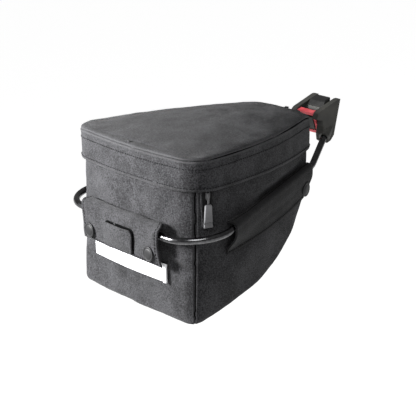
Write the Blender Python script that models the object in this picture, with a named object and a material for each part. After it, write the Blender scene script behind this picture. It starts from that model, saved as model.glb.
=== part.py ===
"""Seatpost bag: a zipped fabric box on a steel tube loop, with a clip adapter for the seatpost.

Metres, +Z up. The bag is modelled with its rear face towards -Y, its right side towards +X and the
seatpost ahead of it towards +Y. The origin is the middle of the adapter's seat face.
"""
import math

import bmesh
import bpy
from mathutils import Matrix, Vector

# Bag body: a box that narrows towards the seatpost and whose bottom rises there
BODY_LENGTH = 0.2015
REAR_HALF_WIDTH = 0.0945
FRONT_HALF_WIDTH = 0.0330
BODY_HEIGHT = 0.1536
REAR_CORNER = 0.0220
FRONT_CORNER = 0.0090
SIDE_BULGE = 0.0150
REAR_BULGE = 0.0085
BOTTOM_RISE = 0.0405
BOTTOM_SWEEP = 0.0585
BOTTOM_SWEEP_POWER = 4.8
BOTTOM_ROUNDING = 0.0050
FABRIC = 0.0022
# Half height of the hollow that the tube presses into each side
DENT_REACH = 0.0180

# Lid: a crowned top with a skirt that hangs over the zip
LID_ABOVE_RIM = 0.0108
LID_HEIGHT = BODY_HEIGHT + LID_ABOVE_RIM
LID_RISE = 0.0050
LID_CROWN = 0.0045
LID_NOSE_LENGTH = 0.0180
LID_NOSE_DROP = 0.0030
LID_EDGE_ROUNDING = 0.0035
LID_EDGE_INSET = 0.0016
SKIRT_HEIGHT = 0.0310
SKIRT_BOTTOM = LID_HEIGHT - SKIRT_HEIGHT
SKIRT_SPREAD = 0.0010

# Adapter's highest point, ahead of the bag and above its lid
ADAPTER_AHEAD = 0.0585
ADAPTER_ABOVE_LID = 0.0102
ADAPTER_TIP_Y = BODY_LENGTH + ADAPTER_AHEAD
ADAPTER_TIP_Z = LID_HEIGHT + ADAPTER_ABOVE_LID

# Tube loop: runs round the rear, along both sides and up into the adapter
TUBE_RADIUS = 0.0035
TUBE_BEHIND = 0.0051
TUBE_OUTSIDE = 0.0285
TUBE_CORNER_RADIUS = 0.0380
TUBE_FRONT_OUTSIDE = 0.0050
TUBE_FRONT_AHEAD = 0.0010
TUBE_FRONT_RADIUS = 0.0180
TUBE_REAR_Y = -REAR_BULGE - TUBE_BEHIND
TUBE_REAR_Z = 0.0868
TUBE_CORNER_X = REAR_HALF_WIDTH + TUBE_OUTSIDE
TUBE_FRONT_X = FRONT_HALF_WIDTH + TUBE_FRONT_OUTSIDE
TUBE_FRONT_Y = BODY_LENGTH + TUBE_FRONT_AHEAD
TUBE_FRONT_Z = 0.1134
TUBE_GRIP = 0.0110
# Mouth of the right socket, back and down from the adapter's highest point
SOCKET_BACK = 0.0268
SOCKET_DROP = 0.0385
TUBE_SOCKET_X = 0.0235
TUBE_SOCKET_Y = ADAPTER_TIP_Y - SOCKET_BACK
TUBE_SOCKET_Z = ADAPTER_TIP_Z - SOCKET_DROP

# Rear flap, its light loop, the reflective strip and the snaps
FLAP_HALF_WIDTH = 0.0620
FLAP_CLOTH = 0.0018
STRIP_HALF_WIDTH = 0.0580
STRIP_BOTTOM = 0.0376
STRIP_HEIGHT = 0.0185
STRIP_CLOTH = 0.0010
LOOP_HALF_WIDTH = 0.0240
LOOP_BOTTOM = 0.0611
LOOP_HEIGHT = 0.0225
LOOP_CLOTH = 0.0014
LOOP_STAND = 0.0022
SNAP_RADIUS = 0.0076
SNAP_HEIGHT = 0.0026
REAR_SNAP_X = 0.0483
REAR_SNAP_Z = 0.0676

# Side sleeves that carry the tube
SLEEVE_CLOTH = 0.0016
SLEEVE_START = 0.0400
SLEEVE_SHORT = 0.0055
SLEEVE_END = BODY_LENGTH - SLEEVE_SHORT
SLEEVE_DOWN = 0.0280
SIDE_SNAP_BACK = 0.0185
SIDE_SNAP_Y = BODY_LENGTH - SIDE_SNAP_BACK
SIDE_SNAP_DROP = 0.0165

# Zip pull
PULL_WIDTH = 0.0082
PULL_LENGTH = 0.0225
PULL_THICKNESS = 0.0018
PULL_ANGLE = 75.0
SLIDER_WIDTH = 0.0046
SLIDER_HEIGHT = 0.0125
SLIDER_DEPTH = 0.0034
ZIP_EDGE = 0.0005

# Adapter: two cheeks, a core and a seat plate, with sockets for the tube's ends
ADAPTER_HALF_WIDTH = 0.0200
CHEEK_THICKNESS = 0.0070
CHEEK_FLARE = 0.0060
ADAPTER_LEAN = 20.5
ADAPTER_FRONT_HEIGHT = 0.0440
ARM_LENGTH = 0.0345
ARM_DEPTH = 0.0075
CHEEK_DEPTH = 0.0195
CHEEK_ROUNDING = 0.0040
PRONG_ROUNDING = 0.0014
PRONG_REACH = 0.0060
SEAT_PLATE = 0.0040
SEAT_BOTTOM = 0.0240
SADDLE_BACK = 0.0175
CORE_SWING = 0.0020
CORE_REAR = 0.0040
CORE_FRONT = 0.0090
SOCKET_RADIUS = 0.0060
SOCKET_END = 0.0030
SOCKET_LEAD = 0.0040
SADDLE_TOP = 0.0045
SADDLE_DEPTH = 0.0045
BLOCK_HALF_WIDTH = 0.0122
BLOCK_DEPTH = 0.0120
BLOCK_HEIGHT = 0.0068
BLOCK_OVERHANG = 0.0004
BLOCK_TAPER = 0.0012
BLOCK_EDGE = 0.0014

# Release lever: a red frame that rocks on two pins in the cheeks
LEVER_BACK = 0.0255
LEVER_DROP = 0.0235
LEVER_PIVOT_Y = ADAPTER_TIP_Y - LEVER_BACK
LEVER_PIVOT_Z = ADAPTER_TIP_Z - LEVER_DROP
LEVER_BAR = 0.0034
LEVER_DEPTH = 0.0060
LEVER_LEG = 0.0028
LEVER_UP = 0.0112
LEVER_DOWN = 0.0135
LEVER_LEAN = 20.0
LEVER_PIN_RADIUS = 0.0015
LEVER_PIN_REACH = 0.0020

# Clearances
GAP = 0.0003
TUBE_GAP = 0.0005
HINGE_GAP = 0.0004
# How far a cutter runs past the face that it opens
CUT_PAST = 0.0010

# The body's sections from its bottom edge to its rim: shares of the sizes above
BODY_SECTIONS = [
    {"height": 0.00, "width": 0.985, "corner": 0.60, "side": 0.88, "rear": 0.35},
    {"height": 0.25, "width": 0.992, "corner": 0.80, "side": 1.00, "rear": 0.75},
    {"height": 0.60, "width": 1.000, "corner": 1.00, "side": 1.00, "rear": 1.00},
    {"height": 1.00, "width": 0.998, "corner": 1.12, "side": 0.98, "rear": 0.90},
]
# The flap's run from its seam over the tube to its free edge: z as shares of the tube's radius
# above or below the tube, and how far it stands off the body towards the tube's rear
FLAP_ROWS = [
    {"rise": 2.00, "stand": 0.00},
    {"rise": 2.60, "stand": 0.10},
    {"rise": 2.85, "stand": 0.32},
    {"rise": 2.70, "stand": 0.62},
    {"rise": 2.20, "stand": 0.86},
    {"rise": 1.35, "stand": 1.00},
    {"rise": -1.80, "stand": 1.00},
    {"rise": -4.20, "stand": 0.94},
    {"rise": -6.60, "stand": 0.86},
    {"rise": -8.60, "stand": 0.74},
]
# The sleeve's run over the tube to its seam: heights above the tube's middle as shares of its
# radius with its gap, and how far it stands off the bag's side
SLEEVE_TOP = [
    {"rise": 0.45, "stand": 1.00},
    {"rise": 0.80, "stand": 0.93},
    {"rise": 1.00, "stand": 0.75},
    {"rise": 1.05, "stand": 0.50},
    {"rise": 1.05, "stand": 0.05},
]

# A cheek's side profile from the prong's tip round the socket end to the arm: shares of the front
# height downwards and of the cheek's depth backwards
CHEEK_CURVE = [
    {"down": 1.00, "back": 0.50},
    {"down": 0.91, "back": 0.75},
    {"down": 0.68, "back": 1.00},
    {"down": 0.48, "back": 1.08},
    {"down": 0.29, "back": 1.28},
]
# A snap cap's turned profile: shares of its radius and of its height
SNAP_PROFILE = [(0.0, 0.0), (1.0, 0.0), (1.0, 0.35), (0.86, 0.68), (0.55, 0.92), (0.0, 1.0)]

# How hard a soft corner is pulled towards its point, and the flat share of a dent's depth
CORNER_PULL = 0.56
DENT_FLAT = 0.4

REAR_STEPS = 8
CORNER_STEPS = 6
SIDE_STEPS = 14
FRONT_CORNER_STEPS = 3
FRONT_STEPS = 3
BOTTOM_COLUMNS = 4
LID_COLUMNS = 12
LID_LEVELS = [0.0, 0.3, 0.6]
FLAP_COLUMNS = 10
STRIP_STEPS = 2
LOOP_STEPS = 4
LOOP_COLUMNS = 6
SLEEVE_STEPS = 8
SLEEVE_COLUMNS = 14
SNAP_SIDES = 16
TUBE_STEP = 0.0120
PIN_SIDES = 12
# Heights of the body's rings, closest where the tube presses the sides in
BODY_LEVELS = [0.0, 0.12, 0.24, 0.35, 0.44, 0.50, 0.56, 0.62, 0.70, 0.82, 1.0]

adapter_lean = math.radians(ADAPTER_LEAN)
# Directions of the adapter: down its front face, and back along its arms
adapter_down = Vector((0, -math.sin(adapter_lean), -math.cos(adapter_lean)))
adapter_back = Vector((0, -math.cos(adapter_lean), math.sin(-adapter_lean)))
adapter_tip = Vector((0, ADAPTER_TIP_Y, ADAPTER_TIP_Z))
seat_centre = adapter_tip + adapter_down * ((SADDLE_TOP + SEAT_BOTTOM) / 2) + adapter_back * PRONG_REACH
lever_turn = Matrix.Rotation(math.radians(LEVER_LEAN), 3, "X")
lever_pivot = Vector((0, LEVER_PIVOT_Y, LEVER_PIVOT_Z))


def clear_scene():
    for item in list(bpy.data.objects):
        bpy.data.objects.remove(item, do_unlink=True)


def material(name, colour, roughness, metallic=0.0):
    made = bpy.data.materials.new(name)
    made.use_nodes = True
    shader = made.node_tree.nodes["Principled BSDF"]
    shader.inputs["Base Color"].default_value = (*colour, 1.0)
    shader.inputs["Roughness"].default_value = roughness
    shader.inputs["Metallic"].default_value = metallic
    return made


def link(name, mesh, finish, parent):
    item = bpy.data.objects.new(name, mesh)
    bpy.context.scene.collection.objects.link(item)
    item.data.materials.append(finish)
    item.parent = parent
    return item


def empty(name, place, parent=None):
    item = bpy.data.objects.new(name, None)
    bpy.context.scene.collection.objects.link(item)
    item.location = place
    item.parent = parent
    return item


def finish_mesh(bm, name, sharp_degrees=35):
    bmesh.ops.recalc_face_normals(bm, faces=bm.faces)
    mesh = bpy.data.meshes.new(name)
    bm.to_mesh(mesh)
    bm.free()
    mesh.shade_smooth()
    mesh.set_sharp_from_angle(angle=math.radians(sharp_degrees))
    return mesh


def mix(low, high, share):
    return low + (high - low) * share


def section_at(share):
    """The body's section values at a share of its height."""
    rows = BODY_SECTIONS
    for low, high in zip(rows, rows[1:]):
        if share <= high["height"]:
            part = (share - low["height"]) / (high["height"] - low["height"])
            part = max(0.0, min(1.0, part))
            return {key: mix(low[key], high[key], part) for key in low}
    return dict(rows[-1])


def bottom_z(y):
    """Height of the bag's underside at a distance from the rear."""
    share = max(0.0, y) / BODY_LENGTH
    return BOTTOM_RISE * share + BOTTOM_SWEEP * share ** BOTTOM_SWEEP_POWER


def bezier(start, handle_a, handle_b, end, share):
    rest = 1 - share
    return (start * rest ** 3 + handle_a * 3 * rest ** 2 * share
            + handle_b * 3 * rest * share ** 2 + end * share ** 3)


def rounded(start, corner, end, steps):
    """Points of a soft corner, without its last point."""
    handle_a = start.lerp(corner, CORNER_PULL)
    handle_b = end.lerp(corner, CORNER_PULL)
    return [bezier(start, handle_a, handle_b, end, i / steps) for i in range(steps)]


def half_outline(half_width, corner, side_bulge, rear_bulge):
    """Right half of a plan outline, from the middle of the rear to the middle of the front."""
    def rear(x):
        return Vector((x, -rear_bulge * (1 - (x / half_width) ** 2)))

    def side(share):
        x = mix(half_width, FRONT_HALF_WIDTH, share) + 4 * side_bulge * share * (1 - share)
        return Vector((x, BODY_LENGTH * share))

    rear_end = half_width - corner
    first = corner / BODY_LENGTH
    last = 1 - FRONT_CORNER / BODY_LENGTH
    front_end = Vector((FRONT_HALF_WIDTH - FRONT_CORNER, BODY_LENGTH))
    points = [rear(rear_end * i / REAR_STEPS) for i in range(REAR_STEPS)]
    points += rounded(rear(rear_end), Vector((half_width, 0)), side(first), CORNER_STEPS)
    points += [side(mix(first, last, i / SIDE_STEPS)) for i in range(SIDE_STEPS)]
    points += rounded(side(last), Vector((FRONT_HALF_WIDTH, BODY_LENGTH)), front_end, FRONT_CORNER_STEPS)
    points += [Vector((front_end.x * (1 - i / FRONT_STEPS), BODY_LENGTH)) for i in range(FRONT_STEPS + 1)]
    return points


def inset(points, distance):
    """The half outline moved inwards, with its two ends kept on the middle plane."""
    moved = []
    for index, point in enumerate(points):
        before = points[index - 1] if index else Vector((-points[1].x, points[1].y))
        after = points[index + 1] if index + 1 < len(points) else Vector((-points[-2].x, points[-2].y))
        along = (after - before).normalized()
        inward = Vector((-along.y, along.x))
        moved.append(point + inward * distance)
    moved[0].x = 0.0
    moved[-1].x = 0.0
    return moved


def body_outline(share):
    section = section_at(share)
    return half_outline(REAR_HALF_WIDTH * section["width"], REAR_CORNER * section["corner"],
                        SIDE_BULGE * section["side"], REAR_BULGE * section["rear"])


def plateau(offset, flat):
    """1 up to the flat share, then a smooth fall to 0 where the offset reaches 1."""
    fall = min(1.0, max(0.0, (offset - flat) / (1 - flat)))
    return math.cos(fall * math.pi / 2) ** 2


def side_share(y):
    return max(0.0, min(1.0, y / BODY_LENGTH))


def tube_z(y):
    """Height of the loop's middle line along the bag."""
    share = (y - TUBE_REAR_Y) / (TUBE_FRONT_Y - TUBE_REAR_Y)
    return mix(TUBE_REAR_Z, TUBE_FRONT_Z, share)


def tube_x(y):
    """Distance of the loop's side leg from the middle plane."""
    share = (y - TUBE_REAR_Y) / (TUBE_FRONT_Y - TUBE_REAR_Y)
    return mix(TUBE_CORNER_X, TUBE_FRONT_X, share)


def dented(x, y, z):
    """The side's x where the tube presses it in."""
    if y < REAR_CORNER:
        return x
    limit = tube_x(y) - TUBE_RADIUS - TUBE_GAP
    if x <= limit:
        return x
    return x - (x - limit) * plateau(abs(z - tube_z(y)) / DENT_REACH, DENT_FLAT)


def side_x(y, z):
    """The outer face of the bag's right side."""
    low = bottom_z(y)
    share = max(0.0, min(1.0, (z - low) / (BODY_HEIGHT - low)))
    section = section_at(share)
    along = side_share(y)
    half_width = REAR_HALF_WIDTH * section["width"]
    plain = mix(half_width, FRONT_HALF_WIDTH, along) + 4 * SIDE_BULGE * section["side"] * along * (1 - along)
    return dented(plain, y, z)


def rear_y(x, z):
    """The outer face of the bag's rear."""
    section = section_at(max(0.0, min(1.0, z / BODY_HEIGHT)))
    half_width = REAR_HALF_WIDTH * section["width"]
    return -REAR_BULGE * section["rear"] * (1 - (x / half_width) ** 2)


def ring_loop(bm, half, z_of):
    """A closed ring of vertices from a half outline: the right half, then its mirror image."""
    right = [bm.verts.new((p.x, p.y, z_of(p))) for p in half]
    left = [bm.verts.new((-p.x, p.y, z_of(p))) for p in half[-2:0:-1]]
    return right + left


def bridge(bm, low, high):
    count = len(low)
    for i in range(count):
        bm.faces.new((low[i], low[(i + 1) % count], high[(i + 1) % count], high[i]))


def cap(bm, ring, columns, z_of):
    """Fills a ring with rows that run across the bag from its right half to its left half."""
    half = len(ring) // 2
    rows = []
    for i in range(1, half):
        right = ring[i]
        left = ring[-i]
        row = [right]
        for j in range(1, columns):
            x = right.co.x * (1 - 2 * j / columns)
            row.append(bm.verts.new((x, right.co.y, z_of(x, right.co.y, right.co.x, right.co.z))))
        row.append(left)
        rows.append(row)
    for j in range(columns):
        bm.faces.new((ring[0], rows[0][j], rows[0][j + 1]))
        bm.faces.new((ring[half], rows[-1][j + 1], rows[-1][j]))
    for low, high in zip(rows, rows[1:]):
        for j in range(columns):
            bm.faces.new((low[j], high[j], high[j + 1], low[j + 1]))


def body_rings(bm, depth):
    """Rings of one face of the body's wall, from the bottom edge to the rim."""
    rounding = BOTTOM_ROUNDING - depth
    rings = []
    for index, share in enumerate([0.0] + BODY_LEVELS):
        half = body_outline(share)
        pull_in = depth + (rounding if index == 0 else 0.0)
        placed = []
        for plain, moved in zip(half, inset(half, pull_in)):
            low = bottom_z(moved.y) + depth
            z = mix(low + rounding, BODY_HEIGHT, share) if index else low
            shift = plain.x - dented(plain.x, plain.y, z)
            placed.append(Vector((max(0.0, moved.x - shift), moved.y, z)))
        right = [bm.verts.new(p) for p in placed]
        left = [bm.verts.new((-p.x, p.y, p.z)) for p in placed[-2:0:-1]]
        rings.append(right + left)
    for low, high in zip(rings, rings[1:]):
        bridge(bm, low, high)
    return rings


def make_body(parent, finish):
    bm = bmesh.new()
    outer = body_rings(bm, 0.0)
    inner = body_rings(bm, FABRIC)
    for rings in (outer, inner):
        cap(bm, rings[0], BOTTOM_COLUMNS, lambda x, y, half, z: z)
    bridge(bm, outer[-1], inner[-1])
    return link("body_shell", finish_mesh(bm, "body_shell"), finish, parent)


def lid_top_z(y):
    """Height of the lid's top seam, with the nose that slopes down at the front."""
    rise = LID_RISE * side_share(y)
    nose = max(0.0, (y - (BODY_LENGTH - LID_NOSE_LENGTH)) / LID_NOSE_LENGTH)
    return LID_HEIGHT + rise - LID_NOSE_DROP * nose ** 2


def lid_outline(share, depth):
    """Outline of the lid from the skirt's lower edge, share 0, to the top seam, share 1."""
    spread = FABRIC + GAP + SKIRT_SPREAD * (1 - share)
    half = body_outline(mix(SKIRT_BOTTOM / BODY_HEIGHT, 1.0, share))
    return inset(half, depth - spread)


def lid_crown(x, y, half, edge):
    """Height of the lid's top, highest along its middle."""
    across = 1 - (x / half) ** 2
    along = math.sin(math.pi * min(1.0, max(0.0, y / BODY_LENGTH))) ** 0.6
    return edge + LID_CROWN * across * along


def lid_rings(bm, depth, shares):
    rings = []
    for share in shares:
        half = lid_outline(share, depth)
        rings.append(ring_loop(bm, half, lambda p, s=share: mix(SKIRT_BOTTOM, lid_top_z(p.y) - depth, s)))
    for low, high in zip(rings, rings[1:]):
        bridge(bm, low, high)
    return rings


def make_lid(parent, finish):
    bm = bmesh.new()
    side_height = LID_HEIGHT - SKIRT_BOTTOM
    outer = lid_rings(bm, 0.0, LID_LEVELS + [1 - LID_EDGE_ROUNDING / side_height])
    shoulder = inset(lid_outline(1.0, 0.0), LID_EDGE_INSET)
    top = ring_loop(bm, shoulder, lambda p: lid_top_z(p.y))
    bridge(bm, outer[-1], top)
    cap(bm, top, LID_COLUMNS, lid_crown)
    inner = lid_rings(bm, FABRIC, LID_LEVELS + [1.0])
    cap(bm, inner[-1], LID_COLUMNS, lid_crown)
    bridge(bm, outer[0], inner[0])
    return link("lid", finish_mesh(bm, "lid"), finish, parent)


def sheet(name, rows, columns, inner_point, outer_point, finish, parent):
    """A closed sheet of cloth from a grid of its inner points and one of its outer points."""
    bm = bmesh.new()
    grids = []
    for point in (inner_point, outer_point):
        grids.append([[bm.verts.new(point(i, j)) for j in range(columns + 1)] for i in range(rows + 1)])
    for grid in grids:
        for i in range(rows):
            for j in range(columns):
                bm.faces.new((grid[i][j], grid[i][j + 1], grid[i + 1][j + 1], grid[i + 1][j]))
    inner, outer = grids
    for i in range(rows):
        for j in (0, columns):
            bm.faces.new((inner[i][j], inner[i + 1][j], outer[i + 1][j], outer[i][j]))
    for j in range(columns):
        for i in (0, rows):
            bm.faces.new((inner[i][j], inner[i][j + 1], outer[i][j + 1], outer[i][j]))
    return link(name, finish_mesh(bm, name), finish, parent)


def flap_inner(x, row):
    z = TUBE_REAR_Z + row["rise"] * TUBE_RADIUS
    strip_top = STRIP_BOTTOM + STRIP_HEIGHT
    seat = rear_y(x, z) - GAP
    if row["rise"] > 0:
        seat -= FLAP_CLOTH
    elif z < strip_top + STRIP_CLOTH:
        seat -= STRIP_CLOTH + GAP
    proud = TUBE_REAR_Y - TUBE_RADIUS - TUBE_GAP
    return Vector((x, mix(seat, min(seat, proud), row["stand"]), z))


def flap_point(x, index, depth):
    """A point of the flap, at a depth outwards from its inner face."""
    here = flap_inner(x, FLAP_ROWS[index])
    before = flap_inner(x, FLAP_ROWS[max(0, index - 1)])
    after = flap_inner(x, FLAP_ROWS[min(len(FLAP_ROWS) - 1, index + 1)])
    along = (after - before).normalized()
    outward = Vector((0, along.z, -along.y))
    return here + outward * depth


def flap_face_y(x, z):
    """Outer face of the flap at a height below its fold."""
    points = [flap_point(x, index, FLAP_CLOTH) for index in range(len(FLAP_ROWS) - 1, 3, -1)]
    for low, high in zip(points, points[1:]):
        if low.z <= z <= high.z:
            return mix(low.y, high.y, (z - low.z) / (high.z - low.z))
    return points[0].y if z < points[0].z else points[-1].y


def flap_face(x, z):
    return Vector((x, flap_face_y(x, z), z))


def make_flap(parent, finish):
    def across(j):
        return FLAP_HALF_WIDTH * (2 * j / FLAP_COLUMNS - 1)

    return sheet("rear_flap", len(FLAP_ROWS) - 1, FLAP_COLUMNS,
                 lambda i, j: flap_point(across(j), i, 0.0),
                 lambda i, j: flap_point(across(j), i, FLAP_CLOTH), finish, parent)


def make_strip(parent, finish):
    def point(i, j, depth):
        x = STRIP_HALF_WIDTH * (2 * j / FLAP_COLUMNS - 1)
        z = STRIP_BOTTOM + STRIP_HEIGHT * i / STRIP_STEPS
        return Vector((x, rear_y(x, z) - GAP - depth, z))

    return sheet("reflective_strip", STRIP_STEPS, FLAP_COLUMNS, lambda i, j: point(i, j, 0.0),
                 lambda i, j: point(i, j, STRIP_CLOTH), finish, parent)


def make_light_loop(parent, finish):
    def point(i, j, depth):
        x = LOOP_HALF_WIDTH * (2 * j / LOOP_COLUMNS - 1)
        z = LOOP_BOTTOM + LOOP_HEIGHT * i / LOOP_STEPS
        stand = LOOP_STAND * math.sin(math.pi * j / LOOP_COLUMNS) * min(1.0, 2 * i / LOOP_STEPS)
        return Vector((x, flap_face_y(x, z) - GAP - stand - depth, z))

    return sheet("light_loop", LOOP_STEPS, LOOP_COLUMNS, lambda i, j: point(i, j, 0.0),
                 lambda i, j: point(i, j, LOOP_CLOTH), finish, parent)


def seat_on(face, u, v, radius, hand):
    """Where a round cap's flat back lies on a cloth face, and the direction it looks in."""
    across = (face(u + radius, v) - face(u - radius, v)).normalized()
    up = (face(u, v + radius) - face(u, v - radius)).normalized()
    outward = across.cross(up).normalized() * hand
    middle = face(u, v)
    rim = [face(u + radius * math.cos(turn), v + radius * math.sin(turn))
           for turn in [i * math.pi / 4 for i in range(8)]]
    proud = max(0.0, max((point - middle).dot(outward) for point in rim))
    return middle + outward * (proud + GAP), outward


def make_snap(name, face, u, v, hand, finish, parent):
    """A domed snap cap, its flat back towards the cloth."""
    place, outward = seat_on(face, u, v, SNAP_RADIUS, hand)
    bm = bmesh.new()
    verts = [bm.verts.new((SNAP_RADIUS * r, 0, SNAP_HEIGHT * h)) for r, h in SNAP_PROFILE]
    edges = [bm.edges.new((a, b)) for a, b in zip(verts, verts[1:])]
    bmesh.ops.spin(bm, geom=verts + edges, cent=(0, 0, 0), axis=(0, 0, 1), angle=2 * math.pi,
                   steps=SNAP_SIDES)
    bmesh.ops.remove_doubles(bm, verts=bm.verts, dist=0.00002)
    item = link(name, finish_mesh(bm, name), finish, parent)
    item.rotation_euler = outward.to_track_quat("Z", "Y").to_euler()
    item.location = place
    return item


def fillet_route(corners, radii, step):
    """A route through corners with round bends, as points about a step apart."""
    points = [corners[0]]
    for before, corner, after, radius in zip(corners, corners[1:], corners[2:], radii):
        back = (before - corner).normalized()
        ahead = (after - corner).normalized()
        half_angle = back.angle(ahead) / 2
        reach = radius / math.tan(half_angle)
        middle = corner + (back + ahead).normalized() * (radius / math.sin(half_angle))
        start = corner + back * reach
        end = corner + ahead * reach
        turn = (start - middle).angle(end - middle)
        axis = (start - middle).cross(end - middle).normalized()
        count = max(3, round(turn * radius / step))
        points += [middle + Matrix.Rotation(turn * i / count, 3, axis) @ (start - middle)
                   for i in range(count + 1)]
    points.append(corners[-1])
    return points


def socket_axis():
    mouth = Vector((TUBE_SOCKET_X, TUBE_SOCKET_Y, TUBE_SOCKET_Z))
    bend = Vector((TUBE_FRONT_X, TUBE_FRONT_Y, TUBE_FRONT_Z))
    return mouth, (mouth - bend).normalized()


def make_tube(parent, finish):
    """The whole loop, swept from the left socket round the rear to the right socket."""
    mouth, along = socket_axis()
    end = mouth + along * TUBE_GRIP
    right = [end, Vector((TUBE_FRONT_X, TUBE_FRONT_Y, TUBE_FRONT_Z)),
             Vector((TUBE_CORNER_X, TUBE_REAR_Y, TUBE_REAR_Z))]
    left = [Vector((-p.x, p.y, p.z)) for p in right]
    route = fillet_route(left + right[::-1],
                         [TUBE_FRONT_RADIUS, TUBE_CORNER_RADIUS, TUBE_CORNER_RADIUS, TUBE_FRONT_RADIUS],
                         TUBE_STEP)
    curve = bpy.data.curves.new("frame_tube", "CURVE")
    curve.dimensions = "3D"
    curve.bevel_depth = TUBE_RADIUS
    curve.bevel_resolution = 3
    curve.use_fill_caps = True
    spline = curve.splines.new("POLY")
    spline.points.add(len(route) - 1)
    for place, point in zip(spline.points, route):
        place.co = (*point, 1.0)
    return link("frame_tube", curve, finish, parent)


def sleeve_side(y, z):
    """The right sleeve's inner face from its lower edge up to the tube's middle."""
    drop = (tube_z(y) - z) / SLEEVE_DOWN
    grip = TUBE_RADIUS + TUBE_GAP
    along = side_share(y)
    plain = mix(REAR_HALF_WIDTH, FRONT_HALF_WIDTH, along) + 4 * SIDE_BULGE * along * (1 - along) + GAP
    body = side_x(y, z) + GAP
    stand = mix(body, max(body, tube_x(y) + grip), plateau(drop, grip / SLEEVE_DOWN))
    return Vector((max(stand, plain), y, z))


def sleeve_section(y):
    """The right sleeve's inner face across the tube, from its lower edge to its top seam."""
    middle = tube_z(y)
    grip = TUBE_RADIUS + TUBE_GAP
    low = max(middle - SLEEVE_DOWN, bottom_z(y) + BOTTOM_ROUNDING)
    points = [sleeve_side(y, mix(low, middle, i / SLEEVE_STEPS)) for i in range(SLEEVE_STEPS + 1)]
    for row in SLEEVE_TOP:
        z = middle + grip * row["rise"]
        body = side_x(y, z) + GAP
        points.append(Vector((mix(body, max(body, tube_x(y) + grip), row["stand"]), y, z)))
    return points


def off_section(before, here, after, sign, depth):
    """A point at a depth outwards from a section's inner face, on the right or left side."""
    along = (after - before).normalized()
    place = here + Vector((along.z, 0, -along.x)) * depth
    return Vector((sign * place.x, place.y, place.z))


def sleeve_face(sign, y, z):
    """The sleeve's outer face below the tube."""
    below = sleeve_side(y, z - GAP)
    above = sleeve_side(y, z + GAP)
    return off_section(below, sleeve_side(y, z), above, sign, SLEEVE_CLOTH)


def make_sleeve(name, sign, finish, parent):
    sections = [sleeve_section(mix(SLEEVE_START, SLEEVE_END, j / SLEEVE_COLUMNS))
                for j in range(SLEEVE_COLUMNS + 1)]
    last = len(sections[0]) - 1

    def point(i, j, depth):
        section = sections[j]
        return off_section(section[max(0, i - 1)], section[i], section[min(last, i + 1)], sign, depth)

    return sheet(name, last, SLEEVE_COLUMNS, lambda i, j: point(i, j, 0.0),
                 lambda i, j: point(i, j, SLEEVE_CLOTH), finish, parent)


def box_mesh(bm, low, high):
    corners = [(x, y, z) for x in (low[0], high[0]) for y in (low[1], high[1]) for z in (low[2], high[2])]
    verts = [bm.verts.new(c) for c in corners]
    for quad in ((0, 1, 3, 2), (4, 6, 7, 5), (0, 4, 5, 1), (2, 3, 7, 6), (0, 2, 6, 4), (1, 5, 7, 3)):
        bm.faces.new([verts[i] for i in quad])


def soften(item, width):
    bevel = item.modifiers.new("edge", "BEVEL")
    bevel.width = width
    bevel.segments = 2
    bevel.limit_method = "ANGLE"
    bevel.angle_limit = math.radians(40)


def corner_place(angle_degrees):
    """A point on the right rear corner's outer face and its outward direction."""
    angle = math.radians(angle_degrees)
    half = body_outline(SKIRT_BOTTOM / BODY_HEIGHT)
    corner = half[REAR_STEPS:REAR_STEPS + CORNER_STEPS + 1]
    outward = Vector((math.sin(angle), -math.cos(angle), 0))
    place = max(corner, key=lambda p: p.x * outward.x + p.y * outward.y)
    return Vector((place.x, place.y, 0)), outward


def make_zip_parts(parent, slider_finish, pull_finish):
    place, outward = corner_place(PULL_ANGLE)
    turn = math.atan2(outward.x, -outward.y)
    bm = bmesh.new()
    top = SKIRT_BOTTOM - GAP
    low = top - SLIDER_HEIGHT
    box_mesh(bm, (-SLIDER_WIDTH / 2, -SLIDER_DEPTH, low), (SLIDER_WIDTH / 2, 0, top))
    slider = link("zip_slider", finish_mesh(bm, "zip_slider"), slider_finish, parent)
    soften(slider, ZIP_EDGE)
    bm = bmesh.new()
    half = PULL_WIDTH / 2
    front = -SLIDER_DEPTH + PULL_THICKNESS
    pull_top = low - GAP
    box_mesh(bm, (-half, front - PULL_THICKNESS, pull_top - PULL_LENGTH), (half, front, pull_top))
    pull = link("zip_pull", finish_mesh(bm, "zip_pull"), pull_finish, parent)
    soften(pull, ZIP_EDGE)
    for item in (slider, pull):
        item.location = place + outward * GAP
        item.rotation_euler = (0, 0, turn)


def adapter_point(down, back, x=0.0):
    """A point by its distance down the adapter's front face and back along its arms."""
    place = adapter_tip + adapter_down * down + adapter_back * back
    return Vector((x, place.y, place.z))


def prism(name, profile, inner_x, outer_x, parent, flare=0.0):
    """A side profile, as (down, back) pairs, drawn out across the adapter and flared downwards."""
    bm = bmesh.new()

    def end(x, spread):
        return [bm.verts.new(adapter_point(down, back, x + spread * down / ADAPTER_FRONT_HEIGHT))
                for down, back in profile]

    ends = [end(inner_x, 0.0), end(outer_x, flare)]
    bm.faces.new(ends[0])
    bm.faces.new(ends[1][::-1])
    bridge(bm, ends[0], ends[1])
    item = bpy.data.objects.new(name, finish_mesh(bm, name))
    bpy.context.scene.collection.objects.link(item)
    item.parent = parent
    return item


def as_guide(item):
    item.hide_render = True
    item.display_type = "WIRE"
    return item


def cylinder(name, start, end, radius, parent, sides=16):
    bm = bmesh.new()
    along = end - start
    bmesh.ops.create_cone(bm, cap_ends=True, segments=sides, radius1=radius, radius2=radius,
                          depth=along.length)
    place = Matrix.Translation((start + end) / 2) @ along.to_track_quat("Z", "Y").to_matrix().to_4x4()
    bmesh.ops.transform(bm, matrix=place, verts=bm.verts)
    item = bpy.data.objects.new(name, finish_mesh(bm, name))
    bpy.context.scene.collection.objects.link(item)
    item.parent = parent
    return item


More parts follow.
